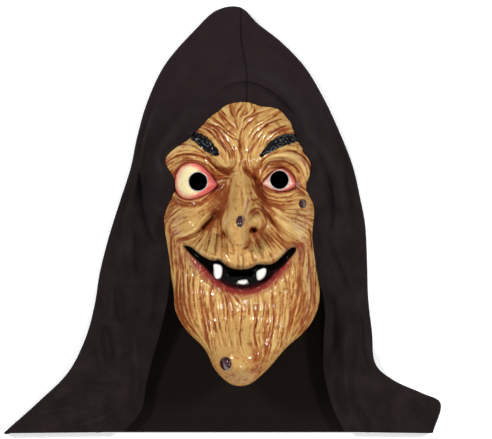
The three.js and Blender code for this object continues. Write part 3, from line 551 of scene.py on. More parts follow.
def face_height(x, y):
    """Height of the outer skin, with the paint masks that follow its carving."""
    base, keep, edge = pillow(x, y)
    form = nose(x, y)
    for entry in FORMS:
        form = form + swell(x, y, entry)
    eye = np.full(x.shape, -np.inf)
    for outline, rise, full in EYEBALLS:
        depth = inside(x, y, outline)
        eye = np.maximum(eye, depth)
        part = np.clip(depth / full, 0, 1)
        form = form + rise * np.sqrt(1 - (1 - part) ** 2)
    mouth = inside(x, y, MOUTH)
    form = form - MOUTH_DEPTH * smooth(-0.4, 2.2, mouth)
    for rise, half, line in (*FOLDS, *LIPS):
        add_line(x, y, rounded(line), half, rise, form)
    form = form + dome(x, y, ALA) + dome(x, y, NOSTRIL, 0.8)
    detail = np.zeros(x.shape)
    # The nostril's pit is painted dark, as painted shade.
    wash_and_shading = 2.5 * dome(x, y, (*NOSTRIL[:4], 1))
    dice = np.random.default_rng(5)
    for depth, half, *lines in CREASES:
        for line in lines:
            add_crease(x, y, line, half, depth, detail, wash_and_shading, dice)
    # Along the big folds the wash is painted darker in the deep ones, as painted shade, and lighter on their
    # ridges, as painted highlight.
    for rise, half, line in FOLDS:
        add_line(x, y, rounded(line), half, -rise * (0.3 if rise < 0 else 0.12), wash_and_shading)
    brow = np.maximum(inside(x, y, LEFT_BROW), inside(x, y, RIGHT_BROW))
    clear = smooth(-0.5, 1.5, np.maximum(eye, mouth))
    skin = 1 - np.maximum(clear, smooth(-1.5, 0.5, brow))
    calm = np.zeros(x.shape)
    for entry in PADS:
        calm = np.maximum(calm, swell(x, y, entry))
    fine, broad, room = (read_raster(raster, x, y) for raster in (flow_fine, flow_broad, flow_room))
    room = room * (1 - calm)
    detail = (detail + room * (0.14 * fine + 0.26 * np.tanh(broad))) * skin
    detail = detail + (2 + 0.5 * read_raster(lumps, x, y)) * smooth(-0.3, 2.4, brow)
    tooth = np.full(x.shape, OUTSIDE)
    for outline in TEETH:
        depth = inside(x, y, outline, 9)
        form = form + TOOTH_HEIGHT * (0.8 * smooth(-0.3, 0.9, depth) + 0.2 * smooth(0, 3, depth))
        tooth = np.maximum(tooth, depth)
    wart = np.full(x.shape, OUTSIDE)
    for entry in WARTS:
        form = form + dome(x, y, entry)
        away = np.hypot((x - entry[0]) / entry[2], (y - entry[1]) / entry[3])
        wart = np.maximum(wart, (1 - away) * min(entry[2], entry[3]))
    ridge = 0.01 + through([entry[:2] for entry in NOSE], y)
    return {
        "height": base + keep * (form + detail), "detail": detail, "wash_and_shading": wash_and_shading * skin, "mouth": mouth,
        "brow": brow, "tooth": tooth, "wart": wart, "eye": eye,
        "streak": np.tanh(0.6 * fine + 0.6 * broad) * skin * room, "room": room * skin,
        "nose": np.where(y < NOSE[0][0] - 1, smooth(0.3, 0.7, nose(x, y) / ridge), 0),
        "edge": edge, "rim": np.minimum(*(hole_gap(x, y, hole) for hole in EYE_HOLES)),
        "flow_c": read_raster(flow_cosine, x, y), "flow_s": read_raster(flow_sine, x, y),
    }


def lining_height(x, y):
    """A wall's thickness under the lowest skin near by, so that it skips the carving."""
    low = face_height(x, y)["height"]
    for turn in np.linspace(0, 2 * math.pi, 8, endpoint=False):
        near_x, near_y = x + LINING_SMOOTHING * math.cos(turn), y + LINING_SMOOTHING * math.sin(turn)
        low = np.minimum(low, face_height(near_x, near_y)["height"])
    return {"height": low - WALL}


def crowd(count, places):
    """Grid places from -1 to 1 that stand closer where the carving is finest."""
    at = np.linspace(-1, 1, 401)
    dense = 1 + sum(more * np.exp(-((at - place) / half) ** 2) for place, half, more in places)
    total = np.concatenate(([0], np.cumsum((dense[1:] + dense[:-1]) / 2)))
    return np.interp(np.linspace(0, total[-1], count + 1), total, at)


def face_plan(columns, rows, inset):
    """Plan places of a square grid spread over the face's outline."""
    b = crowd(rows, FINE_ROWS)[:, None]
    a = np.linspace(-1, 1, columns + 1)[None, :]
    u = a * np.sqrt(1 - b * b / 2) * FACE_HALF_WIDTH
    v = b * np.sqrt(1 - a * a / 2) * FACE_HALF_HEIGHT
    angle = np.arctan2(v, u)
    oval = 1 / np.hypot(np.cos(angle) / FACE_HALF_WIDTH, np.sin(angle) / FACE_HALF_HEIGHT)
    rho = np.hypot(u, v) / oval
    plan = (reach_of(angle) - inset) * rho * (1 + EDGE_CROWDING * (1 - rho ** 6))
    return plan * np.cos(angle), FACE_CENTRE_Y + plan * np.sin(angle)


def droop(x, y):
    return NOSE_DROOP * (nose(x, y) / NOSE_HEIGHT) ** 2 * smooth(DROOP_FROM, DROOP_FULL, y)


class Shell:
    """Grid surfaces that are joined into one closed mesh."""

    def __init__(self):
        self.points, self.faces = [], []
        self.count = 0

    def add(self, points):
        start = self.count
        self.points.append(points)
        self.count += len(points)
        return start

    def zip_rings(self, outer, inner, centre):
        """Triangles between two rings that both run anticlockwise round a centre."""
        places = np.vstack(self.points)

        def unrolled(ring):
            away = places[ring][:, :2] - centre
            turn = np.arctan2(away[:, 1], away[:, 0])
            first = int(np.argmin(turn))
            ring = np.roll(ring, -first)
            turn = np.maximum.accumulate(np.roll(turn, -first))
            return ring, np.append(turn, turn[0] + 2 * math.pi)

        outer, outer_turn = unrolled(np.array(outer))
        inner, inner_turn = unrolled(np.array(inner))
        i = j = 0
        while i < len(outer) or j < len(inner):
            a, b = outer[i % len(outer)], inner[j % len(inner)]
            if j == len(inner) or (i < len(outer) and outer_turn[i + 1] <= inner_turn[j + 1]):
                i += 1
                self.faces.append((a, outer[i % len(outer)], b))
            else:
                j += 1
                self.faces.append((a, inner[j % len(inner)], b))


def border_of(quads):
    """The corners round the edge of a patch of quads, in order."""
    border = {}
    for quad in quads:
        for a, b in zip(quad, np.roll(quad, -1)):
            if (b, a) in border:
                del border[(b, a)]
            else:
                border[(a, b)] = True
    onward = dict(border.keys())
    ring = [next(iter(onward))]
    while len(ring) < len(onward):
        ring.append(onward[ring[-1]])
    return np.array(ring)


def snap(x, y, ring, hole):
    """Move the corners of a ring onto a hole's edge."""
    nudge = 0.01
    for _ in range(3):
        gap = hole_gap(x[ring], y[ring], hole)
        slope_x = (hole_gap(x[ring] + nudge, y[ring], hole) - gap) / nudge
        slope_y = (hole_gap(x[ring], y[ring] + nudge, hole) - gap) / nudge
        x[ring] -= gap * slope_x
        y[ring] -= gap * slope_y


def skin_grid(shell, columns, rows, inset, height, flipped, play, steps):
    """One skin of the face with its holes cut, and its skirt in steps down to the rim."""
    x, y = face_plan(columns, rows, inset)
    index = np.arange(x.size).reshape(x.shape)
    quads = np.stack((index[:-1, :-1], index[:-1, 1:], index[1:, 1:], index[1:, :-1]), -1).reshape(-1, 4)
    x, y = x.ravel(), y.ravel()
    keep = np.ones(len(quads), bool)
    hole_rings = []
    for hole in HOLES:
        cut = hole_gap(x[quads].mean(1), y[quads].mean(1), hole) < play
        keep &= ~cut
        hole_rings.append(border_of(quads[cut]))
    for ring, hole in zip(hole_rings, HOLES):
        snap(x, y, ring, hole)
    masks = height(x, y)
    y = y - droop(x, y)
    points = np.stack((x, y, masks["height"]), -1)
    start = shell.add(points)
    for quad in quads[keep] + start:
        shell.faces.append(tuple(quad[::-1]) if flipped else tuple(quad))
    edge = np.concatenate((index[0, :-1], index[:-1, -1], index[-1, :0:-1], index[:0:-1, 0]))
    top = points[edge]
    ring = edge + start
    angle = np.arctan2(top[:, 1] - FACE_CENTRE_Y, top[:, 0])
    turn = np.sin(angle)
    side, at_brow, at_chin = RIM_HEIGHT
    low = side + at_brow * np.maximum(0, turn) ** 2 + at_chin * np.maximum(0, -turn) ** 4
    tuck = RIM_TUCK[0] + RIM_TUCK[1] * np.maximum(0, -turn) ** 3
    for step in np.arange(1, steps + 1) / steps:
        lower = top.copy()
        lower[:, 0] -= tuck * step * step * np.cos(angle)
        lower[:, 1] -= tuck * step * step * turn
        lower[:, 2] += (low - top[:, 2]) * step
        below_ring = np.arange(len(edge)) + shell.add(lower)
        for a, b, c, d in zip(ring, below_ring, np.roll(below_ring, -1), np.roll(ring, -1)):
            shell.faces.append((d, c, b, a) if flipped else (a, b, c, d))
        ring = below_ring
    return masks, [loop + start for loop in hole_rings], ring


shell = Shell()
skin_masks, skin_holes, skin_rim = skin_grid(
    shell, FACE_COLUMNS, FACE_ROWS, 0, face_height, flipped=False, play=0, steps=4)
_, lining_holes, lining_rim = skin_grid(
    shell, LINING_COLUMNS, LINING_ROWS, WALL, lining_height, flipped=True, play=0.35, steps=2)
for hole, near_ring, far_ring in zip(HOLES, skin_holes, lining_holes):
    shell.zip_rings(near_ring, far_ring, hole[:2])
shell.zip_rings(lining_rim, skin_rim, (0, FACE_CENTRE_Y))
places = np.vstack(shell.points)

face_mesh = bpy.data.meshes.new("mask_face")
face_mesh.from_pydata((places * MM).tolist(), [], [tuple(int(k) for k in face) for face in shell.faces])
face_mesh.polygons.foreach_set("use_smooth", np.ones(len(face_mesh.polygons), bool))

# Paint masks at the corners of the mesh. Cavity is how far a place lies under the places
# close round it, and hollow is the same over a wider round.
grid_shape = (FACE_ROWS + 1, FACE_COLUMNS + 1)
fine = skin_masks["detail"].reshape(grid_shape)
cavity = (blur(blur(fine, 3), 3) - fine).ravel()
shape = skin_masks["height"].reshape(grid_shape)
hollow = (blur(blur(shape, 7), 7) - shape).ravel()
area_wash_and_shade = np.zeros(len(cavity))
plan = places[:len(cavity)]
for entry in WASHES_AND_SHADE:
    area_wash_and_shade += swell(plan[:, 0], plan[:, 1], entry)
# Towards the face's rim the skin is painted darker.
area_wash_and_shade = (area_wash_and_shade + 0.4 * skin_masks["edge"]) * (1 - skin_masks["nose"])


def put(name, values, fill=0.0):
    layer = face_mesh.attributes.new(name, "FLOAT", "POINT")
    full = np.full(len(places), fill, np.float32)
    full[:len(values)] = values
    layer.data.foreach_set("value", full)


put("crease", np.clip(skin_masks["wash_and_shading"] * 0.7 + cavity * 0.5 + np.maximum(hollow, 0) * 0.12, 0, 1.2))
put("ridge", np.clip(-cavity * 0.9 - skin_masks["wash_and_shading"], 0, 1))
put("area_wash_and_shade", np.clip(area_wash_and_shade, -0.9, 1.2), 0.7)
for name in ("mouth", "brow", "tooth", "wart", "eye"):
    put(name + "_depth", skin_masks[name], OUTSIDE)
put("streak", skin_masks["streak"] * 0.5 + 0.5, 0.5)
put("hole_rim", skin_masks["rim"], 9.0)
for name in ("room", "flow_c", "flow_s", "edge"):
    put(name, skin_masks[name])
face_mesh.validate()
face_mesh.update()
face = bpy.data.objects.new("mask_face", face_mesh)
bpy.context.scene.collection.objects.link(face)


class Wire:
    """A value in a material's nodes: arithmetic on it adds Math nodes."""

    def __init__(self, tree, socket=None):
        self.tree, self.socket = tree, socket

    def node(self, kind, settings=None, sockets=None, out=0):
        made = self.tree.nodes.new(kind)
        for name, value in (settings or {}).items():
            setattr(made, name, value)
        for key, value in (sockets or {}).items():
            if isinstance(value, Wire):
                self.tree.links.new(value.socket, made.inputs[key])
            else:
                made.inputs[key].default_value = value
        return Wire(self.tree, made.outputs[out])

    def math(self, operation, *values):
        return self.node("ShaderNodeMath", {"operation": operation}, dict(enumerate(values)))

    def __add__(self, other):
        return self.math("ADD", self, other)

    def __sub__(self, other):
        return self.math("SUBTRACT", self, other)

    def __rsub__(self, other):
        return self.math("SUBTRACT", other, self)

    def __mul__(self, other):
        return self.math("MULTIPLY", self, other)

    def __truediv__(self, other):
        return self.math("DIVIDE", self, other)

    __radd__ = __add__
    __rmul__ = __mul__

    def between(self, low, high):
        """0 under low, 1 over high, smooth between."""
        smoothstep = {"interpolation_type": "SMOOTHSTEP"}
        return self.node("ShaderNodeMapRange", smoothstep, {0: self, 1: low, 2: high})

    def tint(self, below, above):
        """Colour that turns from below to above as this value goes from 0 to 1."""
        return self.node("ShaderNodeMix", {"data_type": "RGBA"}, {0: self, 6: below, 7: above}, out=2)


def colour(*levels):
    """Red, green and blue as seen on a screen, 0 to 255, turned into amounts of light."""
    shares = [level / 255 for level in levels]
    light = [((share + 0.055) / 1.055) ** 2.4 if share > 0.04 else share / 12.92 for share in shares]
    return (*light, 1.0)


def new_material(name):
    material = bpy.data.materials.new(name)
    material.use_nodes = True
    shader = material.node_tree.nodes["Principled BSDF"]
    return material, shader, Wire(material.node_tree)


def feed(graph, shader, links):
    for socket, value in links.items():
        if isinstance(value, Wire):
            graph.tree.links.new(value.socket, shader.inputs[socket])
        else:
            shader.inputs[socket].default_value = value


def millimetres(graph, axis):
    """A place on the piece along one axis, in millimetres."""
    place = graph.node("ShaderNodeTexCoord", out="Object")
    return graph.node("ShaderNodeSeparateXYZ", {}, {0: place}, out=axis) * 1000.0


def noise(graph, scale, detail=3.0, rough=0.55):
    place = graph.node("ShaderNodeTexCoord", out="Object")
    settings = {"Vector": place, "Scale": scale, "Detail": detail, "Roughness": rough}
    return graph.node("ShaderNodeTexNoise", {}, settings)


vinyl, shader, graph = new_material("painted_vinyl")


def mask(name):
    return graph.node("ShaderNodeAttribute", {"attribute_name": name}, out="Fac")


# Uneven paint in patches of about 36, 9 and 3 mm, and the same with a mean of 0
blotch = noise(graph, 28)
mottle = noise(graph, 110, 4, 0.6)
speck = noise(graph, 300, 4)
uneven, grainy, dusty = blotch - 0.5, mottle - 0.5, speck - 0.5

# Hair-fine streaks along the flow: stretched noise in six directions, each weighted by
# how near the flow is to it
HEADINGS = 6
HAIR_SCALE = 620.0
HAIR_STRETCH = 9
flow_c, flow_s = mask("flow_c"), mask("flow_s")
place = graph.node("ShaderNodeTexCoord", out="Object")
total, weights = 0, 0
for number in range(HEADINGS):
    heading = math.pi * number / HEADINGS
    near = (flow_c * math.cos(2 * heading) + flow_s * math.sin(2 * heading)).between(0.3, 1.0)
    turned = graph.node("ShaderNodeMapping", {"vector_type": "TEXTURE"}, {
        "Vector": place, "Rotation": (0, 0, heading), "Scale": (HAIR_STRETCH, 1, HAIR_STRETCH)})
    hair = graph.node("ShaderNodeTexNoise", {}, {
        "Vector": turned, "Scale": HAIR_SCALE, "Detail": 2.0, "Roughness": 0.6})
    total, weights = total + near * hair, weights + near
room = mask("room")
hairy = (total / weights - 0.5) * room

# Tan vinyl, its ridges rubbed pale, with two coats of brown wash and dark creases
# The wash also holds painted shade, in the deep folds, the nostril and beside the nose, and the pale rubbing
# holds painted highlight on the ridges of the big folds.
crease, ridge, area = mask("crease"), mask("ridge"), mask("area_wash_and_shade")
streaky = mask("streak") - 0.5
wash_and_shading = crease * 0.9 + area * 0.62 - ridge * 0.35 - streaky - hairy * 1.8
wash_and_shading = wash_and_shading + uneven * 0.6 + grainy * 1.2 + dusty * (2.6 - 1.9 * room)
rubbed_and_highlit = (ridge * 0.9 + streaky * 0.8 + hairy * 2.2 + grainy * 0.6).between(0.0, 1.0)
skin = blotch.between(0.35, 0.7).tint(colour(175, 137, 80), colour(187, 150, 91))
skin = rubbed_and_highlit.tint(skin, colour(205, 170, 110))
skin = (wash_and_shading.between(-0.1, 0.7) * 0.75).tint(skin, colour(152, 91, 46))
skin = wash_and_shading.between(0.35, 1.15).tint(skin, colour(128, 64, 31))
age_spot = noise(graph, 190, 1).between(0.64, 0.7) * 0.6
skin = age_spot.tint(skin, colour(120, 72, 34))
skin = (crease - hairy * 1.6 + dusty * 0.5).between(0.65, 1.5).tint(skin, colour(90, 34, 15))

# Eyeballs: the big left one is cream at its outer side, the right one pale pink
eye = mask("eye_depth")
east, north = millimetres(graph, "X"), millimetres(graph, "Y")
eye_pink = (eye + grainy * 3.0 - (east + 33.0).between(-8.0, 10.0) * 4.5).between(-1.4, 5.4)
left_ball = eye_pink.tint(colour(206, 104, 98), colour(216, 203, 156))
pale = (eye + grainy * 3.0 - (east - 30.0).between(-2.0, 12.0) * 2.4).between(-1.4, 1.4)
right_ball = pale.tint(colour(202, 98, 88), colour(228, 194, 178))
eyeball = east.between(0.0, 1.0).tint(left_ball, right_ball)
sore = wash_and_shading.between(0.0, 1.0).tint(colour(140, 62, 36), colour(96, 30, 18))
skin = eye.between(-3.5, -0.4).tint(skin, sore)
vein = (1 - (grainy * grainy * 1500.0).between(0.0, 1.0)) * (0.55 - 0.4 * eye_pink)
skin = eye.between(-0.15, 0.3).tint(skin, vein.tint(eyeball, colour(190, 60, 52)))
# A pale grey ring is painted round each eye hole, a painted highlight where the cut edge catches light.
hole_edge_highlight = eye.between(0.5, 1.0) * (1 - mask("hole_rim").between(0.3, 1.2))
skin = hole_edge_highlight.tint(skin, colour(150, 152, 152))

# Mouth: black inside, with red rubbed into the lower lip, and white teeth
mouth = mask("mouth_depth")
middle = east * east * 0.0129 - 26.5
below = (middle - north).between(-1.0, 4.0)
black = mouth - below * 3.4
corner = graph.math("ABSOLUTE", east).between(34.0, 45.0)
lip = (black + hairy * 14.0 + grainy * 3.0).between(-11.0, -5.0)
# Pale pink flecks on the lower lip are painted glints.
glint = noise(graph, 420, 1).between(0.62, 0.7) * 0.5
lip_red_and_glints = glint.tint(colour(132, 46, 42), colour(214, 140, 132))
skin = (below * lip * (1 - corner * 0.8)).tint(skin, lip_red_and_glints)
lip_line = (black - (1 - below) * 2.2 + grainy * 2.0 + hairy * 6.0).between(-5.2, -0.8)
skin = lip_line.tint(skin, colour(34, 9, 14))
skin = black.between(-0.4, 0.3).tint(skin, colour(7, 7, 8))
tooth = mask("tooth_depth").between(0.0, 0.45)
skin = tooth.tint(skin, colour(240, 237, 230))

# Black bristly brows with pale flecks, painted glints on the bristles, and brown warts that are mauve on top
brow = (mask("brow_depth") + dusty * 3.0).between(-0.3, 0.4)
brow_glint = noise(graph, 640, 1).between(0.66, 0.72) * 0.5
skin = brow.tint(skin, brow_glint.tint(colour(4, 4, 6), colour(150, 160, 172)))
wart_depth = mask("wart_depth")
wart = wart_depth.between(0.0, 0.9)
mauve = (wart_depth + dusty * 2.0).between(1.4, 3.4)
skin = wart.tint(skin, mauve.tint(colour(44, 15, 13), colour(72, 42, 50)))

# Finish: glossy clear coat, duller over the wash, in creases and down the mouth's wall
ball = eye.between(0.0, 0.5)
bristle = noise(graph, 360, 1)
carving = (speck * 0.5 + (hairy + 0.5) * 1.6) * ((1 - wart) * (1 - ball)) + bristle * brow * 2.0
bump = graph.node("ShaderNodeBump", {}, {"Strength": 0.8, "Distance": 0.0006, "Height": carving})
gloss = 0.32 + 0.14 * wash_and_shading.between(0.0, 1.0) - 0.14 * mouth.between(-0.3, 0.5)
gloss = gloss - 0.2 * wart - 0.16 * ball - 0.16 * brow
wall = mouth.between(-1.4, -0.4) * (1 - mouth.between(2.0, 3.0))
coat = (0.5 - 0.45 * mask("edge") + 0.5 * wart) * (1 - 0.8 * wall)
coat = coat * (1 - 0.6 * crease.between(0.1, 1.0)) * (1 - 0.35 * area.between(0.0, 1.0))
feed(graph, shader, {"Base Color": skin, "Roughness": gloss, "Normal": bump, "Specular IOR Level": 0.02,
                     "Coat Weight": coat, "Coat Roughness": 0.08})
face_mesh.materials.append(vinyl)
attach(face, "root")
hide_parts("face")

# Hood
# One sheet of thin black knitted cloth, sewn from two halves with a seam over the crown
# and hemmed round its free edges. It is glued round the face and lies in soft folds.
CLOTH = 0.9
GLUE = 0.5
HEM_CLOTH = 1.7
HEM_WIDTH = 9
HEM_Y = -152.5
FOLD_HEIGHT = 11
RIBS = 360
FRONT_STEPS, TURN_STEPS, BACK_STEPS = 64, 10, 16

# From the left corner of the hem over the peak to the right corner: a place on the
# front edge, its height where it hangs free, and the place on the outer fold
HOOD_LINES = (
    ((-93, -152, 11), (-190, -153)), ((-79, -134, 11.5), (-162, -128)), ((-75, -113, 12.5), (-138, -104)),
    ((-70, -93, 14.5), (-124, -76)), ((-62.5, -66, 19), (-117, -50)), ((-57.5, -42, 27), (-113, -25)),
    ((-56, -15, None), (-106, 3)), ((-60.7, 18, None), (-97, 32)), ((-52, 47, None), (-88, 60)),
    ((-59.5, 66, None), (-83, 84)), ((-42, 81, None), (-75, 112)), ((-33, 90, None), (-61, 142)),
    ((-19, 103, None), (-38, 169)), ((-8, 110, None), (-18, 187)), ((4, 111.3, None), (0, 189)),
    ((17, 108, None), (14, 176)), ((31, 105.5, None), (33, 161)), ((39, 97, None), (52, 141)),
    ((44, 86, None), (66, 118)), ((50, 73, None), (78, 93)), ((56.5, 60, None), (90, 63)),
    ((53, 43.5, None), (96, 38)), ((59, 28, None), (100.5, 14)), ((57.7, 8, None), (102, -14)),
    ((61.5, -26, None), (103, -46)), ((67.5, -48, 28), (106, -72)), ((67, -72, 18), (109, -98)),
    ((66.5, -100, 13.5), (122, -110)), ((71, -122, 12), (146, -121)), ((76.5, -138, 11.5), (161, -129)),
    ((84, -152, 11), (155, -153)),
)
PEAK_LINE = 14

# Where the cloth puffs up beside the face: share of the way out, spread of it, and rise
PUFF = (0.22, 0.16, 5)

# Half-width and rise of the seam's soft bulge and of its pressed groove, and its line
SEAM_PRESS = ((2.4, 0.7), (0.8, -1.6))
SEAM = ((0.3, 190), (0.5, 176), (0.5, 165), (2, 155), (4.5, 140), (5, 125), (5.5, 110))

# Folds (rise over 0) and troughs (under 0) of the cloth: rise, half-width, line
HOOD_FOLDS = (
    (-4.42, 1.7, ((-24, 115), (-10, 122.5), (0, 125), (10, 124.6), (19, 121), (29, 114.5), (39, 105),
                  (47, 93))),
    (3.9, 5, ((-26, 124), (-10, 131), (2, 133), (14, 131), (27, 124), (39, 113.5), (49, 100), (57, 86))),
    (-5.2, 7, ((-22, 121), (-36, 111), (-48, 99), (-58, 87), (-66, 72), (-73, 58), (-77, 40), (-77, 22),
               (-71, 6))),
    (-3.9, 2, ((-84, 92), (-83, 70), (-79, 45), (-76, 24), (-70, 5), (-62, -4))),
    (4.42, 5, ((-62, 118), (-72, 100), (-79, 80), (-86, 50), (-89, 20), (-89, -10), (-87, -36))),
    (-3.38, 3, ((-81, 12), (-82, -8), (-81, -30))),
    (2.86, 3.2, ((-74, 0), (-72, -20), (-71, -46), (-74, -70))),
    (3.38, 4, ((-96, 10), (-99, -20), (-102, -45), (-107, -70))),
    (-4.42, 3.2, ((-100, -28), (-97, -48), (-95, -66))),
    (-4.94, 3.6, ((-109, -64), (-106, -80), (-102, -97))),
    (3.64, 3, ((-116, -68), (-112, -90), (-108, -108))), (-3.64, 3, ((-96, -76), (-92, -94))),
    (3.9, 4, ((-87, -66), (-84, -90), (-83, -112), (-86, -130))),
    (-2.6, 5, ((-97, -108), (-90, -122), (-86, -140))),
    (3.64, 3, ((-128, -112), (-107, -117), (-93, -111))),
    (3.38, 2.6, ((-168, -138), (-150, -134), (-135, -132), (-119, -125))),
    (-3.12, 3, ((-160, -130), (-142, -126), (-128, -119))),
    (3.12, 3, ((-138, -147), (-112, -141), (-98, -133))),
    (-3.12, 2.6, ((-130, -138), (-112, -132), (-103, -124))),
    (-2.6, 2.6, ((-118, -150), (-104, -142), (-97, -138))),
    (-3.9, 3.4, ((-10, 183), (-26, 173), (-41, 163), (-52, 152))),
    (-3.38, 3.2, ((14, 159), (28, 153.6), (38, 147), (48, 137))),
    (-2.6, 6, ((20, 142), (36, 131), (51, 115))), (2.6, 6, ((-20, 150), (-38, 138), (-52, 120))),
    (4.42, 4.4, ((48, 93), (58, 80), (68, 66), (75, 52), (79, 36), (80, 20), (78, 2))),
    (-3.64, 3, ((53, 80), (61, 68), (67, 54), (71, 38), (72, 20), (69, 4))),
    (-2.6, 4, ((84, 66), (88, 44), (90, 22))), (2.86, 4, ((92, 22), (95, 0), (96, -20), (95, -44))),
    (-3.64, 2.6, ((66, 10), (74, -8), (80, -22), (87, -38))),
    (2.6, 3, ((68, -8), (75, -24), (84, -40), (93, -52))),
    (-5.2, 4, ((70, -38), (73, -52), (74, -72), (73, -92))),
    (6.5, 4, ((84, -54), (85, -75), (84, -98), (86, -124), (92, -146))),
    (-3.9, 8, ((94, -50), (97, -78), (98, -112))), (-2.6, 3, ((76, -104), (78, -124), (84, -142))),
    (3.38, 3, ((95, -104), (110, -107), (128, -114), (146, -123))),
    (-3.9, 3, ((92, -128), (98, -140), (106, -150))), (2.6, 4, ((118, -128), (126, -140), (130, -150))),
    (-2.6, 3, ((134, -126), (144, -136), (150, -148))),
)


def hood_point(u, v, front, side, edge):
    """Outer surface of the hood's front, from the front edge (v 0) to the outer fold (v 1)."""
    run = np.hypot(side[:, 0] - front[:, 0], side[:, 1] - front[:, 1])
    inner = (1 - FOLD_HEIGHT / 2 / run)[:, None] * v[None, :]
    x = front[:, :1] + (side[:, :1] - front[:, :1]) * inner
    y = front[:, 1:2] + (side[:, 1:2] - front[:, 1:2]) * inner
    z = edge[:, None] + (FOLD_HEIGHT - edge[:, None]) * v[None, :] ** 0.9
    along = smooth(0.1, 0.25, u) * smooth(0.9, 0.75, u)
    z = z + PUFF[2] * np.exp(-((v[None, :] - PUFF[0]) / PUFF[1]) ** 2) * along[:, None]
    relief = np.zeros(x.size)
    flat_x, flat_y = x.ravel(), y.ravel()
    for rise, half, line in HOOD_FOLDS:
        add_line(flat_x, flat_y, rounded(line), half, rise, relief, blunt=0)
    for half, rise in SEAM_PRESS:
        add_line(flat_x, flat_y, rounded(SEAM), half, rise, relief, blunt=1)
    relief = relief.reshape(x.shape)
    z = z + relief * smooth(0, 0.06, v)[None, :] * smooth(1, 0.85, v)[None, :]
    angle = np.arctan2(y - FACE_CENTRE_Y, x)
    over_face = np.hypot(x, y - FACE_CENTRE_Y) < reach_of(angle) + 3
    skin_top = face_height(x.ravel(), y.ravel())["height"].reshape(x.shape)
    return x, y, np.where(over_face, np.maximum(z, skin_top + CLOTH + GLUE), z)


fronts = np.array([line[0][:2] for line in HOOD_LINES], float)
sides = np.array([line[1] for line in HOOD_LINES], float)
free = [line[0][2] for line in HOOD_LINES]
on_face = face_height(fronts[:, 0], fronts[:, 1])["height"] + CLOTH + GLUE
edge_heights = np.array([high if height is None else height for height, high in zip(free, on_face)])
u = np.linspace(0, 1, RIBS + 1)
last = len(HOOD_LINES) - 1
at = np.where(u < 0.5, 2 * u * PEAK_LINE, PEAK_LINE + (2 * u - 1) * (last - PEAK_LINE))


def run_through(points):
    """Places along the curve through the points, at the ribs of the cloth."""
    curve = rounded(points, per=12)
    return np.stack([np.interp(at * 12, np.arange(len(curve)), curve[:, k]) for k in (0, 1)], -1)


front_run, side_run = run_through(fronts), run_through(sides)
low = np.minimum(at.astype(int), last - 1)
edge_run = edge_heights[low] + (edge_heights[low + 1] - edge_heights[low]) * smooth(0, 1, at - low)
v = np.linspace(0, 1, FRONT_STEPS + 1)
front_x, front_y, front_z = hood_point(u, v, front_run, side_run, edge_run)

turn = np.linspace(0, math.pi, TURN_STEPS + 1)[1:]
top_x, top_y = front_x[:, -1:], front_y[:, -1:]
turn_x = top_x + (side_run[:, :1] - top_x) * np.sin(turn)
turn_y = top_y + (side_run[:, 1:2] - top_y) * np.sin(turn)
turn_z = np.tile(FOLD_HEIGHT / 2 * (1 + np.cos(turn)), (RIBS + 1, 1))
part = np.linspace(0, 0.5, BACK_STEPS + 1)[1:]
back_x = turn_x[:, -1:] + (turn_x[::-1, -1:] - turn_x[:, -1:]) * part
back_y = turn_y[:, -1:] + (turn_y[::-1, -1:] - turn_y[:, -1:]) * part
back_z = np.zeros(back_x.shape)
hood_places = np.stack((np.hstack((front_x, turn_x, back_x)), np.hstack((front_y, turn_y, back_y)),
                        np.hstack((front_z, turn_z, back_z))), -1)

columns = FRONT_STEPS + TURN_STEPS + BACK_STEPS
index = np.arange((RIBS + 1) * (columns + 1)).reshape(RIBS + 1, columns + 1)
half = RIBS // 2
index[half, FRONT_STEPS + TURN_STEPS + 1:] = index[half, FRONT_STEPS + TURN_STEPS]
index[half + 1:, columns] = index[half - 1::-1, columns]
hood_faces = []
for i in range(RIBS):
    for j in range(columns):
        corners = (index[i, j], index[i + 1, j], index[i + 1, j + 1], index[i, j + 1])
        corners = tuple(dict.fromkeys(int(k) for k in corners))
        if len(corners) > 2:
            hood_faces.append(corners)
used, corner_of = np.unique(np.concatenate(hood_faces), return_inverse=True)
renumbered = iter(corner_of.tolist())
hood_faces = [tuple(next(renumbered) for _ in corners) for corners in hood_faces]
hood_mesh = bpy.data.meshes.new("hood_cloth")
hood_mesh.from_pydata((hood_places.reshape(-1, 3)[used] * MM).tolist(), [], hood_faces)
hood_mesh.polygons.foreach_set("use_smooth", np.ones(len(hood_mesh.polygons), bool))

# Cloth places for the knit: millimetres round the hood and across it
knit = hood_mesh.uv_layers.new(name="knit")
around = np.concatenate(([0], np.cumsum(np.linalg.norm(np.diff(front_run, axis=0), axis=1))))
steps = np.linalg.norm(np.diff(hood_places, axis=1), axis=2)
across = np.concatenate((np.zeros((RIBS + 1, 1)), np.cumsum(steps, axis=1)), 1)
knit_places = np.stack((np.broadcast_to(around[:, None], across.shape), across), -1).reshape(-1, 2)[used]
knit.data.foreach_set("uv", (knit_places[corner_of] * MM).astype(np.float32).ravel())

hood = bpy.data.objects.new("hood_cloth", hood_mesh)
bpy.context.scene.collection.objects.link(hood)
hem = hood.vertex_groups.new(name="hem")
rim = np.minimum(across, np.abs(hood_places[:, :, 1] - HEM_Y)).ravel()[used]
for k in np.flatnonzero(rim < HEM_WIDTH):
    hem.add([int(k)], 1.0, "REPLACE")
solid = hood.modifiers.new("cloth", "SOLIDIFY")
solid.thickness = HEM_CLOTH * MM
solid.offset = -1
solid.vertex_group = "hem"
solid.thickness_vertex_group = CLOTH / HEM_CLOTH

knitted, shader, graph = new_material("black_knit")
knit_uv = graph.node("ShaderNodeUVMap", {"uv_map": "knit"})


def loops(direction, scale):
    """Rows of the knit, slightly uneven."""
    return graph.node("ShaderNodeTexWave", {"wave_type": "BANDS", "bands_direction": direction}, {
        "Vector": knit_uv, "Scale": scale, "Distortion": 0.6, "Detail": 1.0, "Detail Scale": 3.0}, out="Fac")


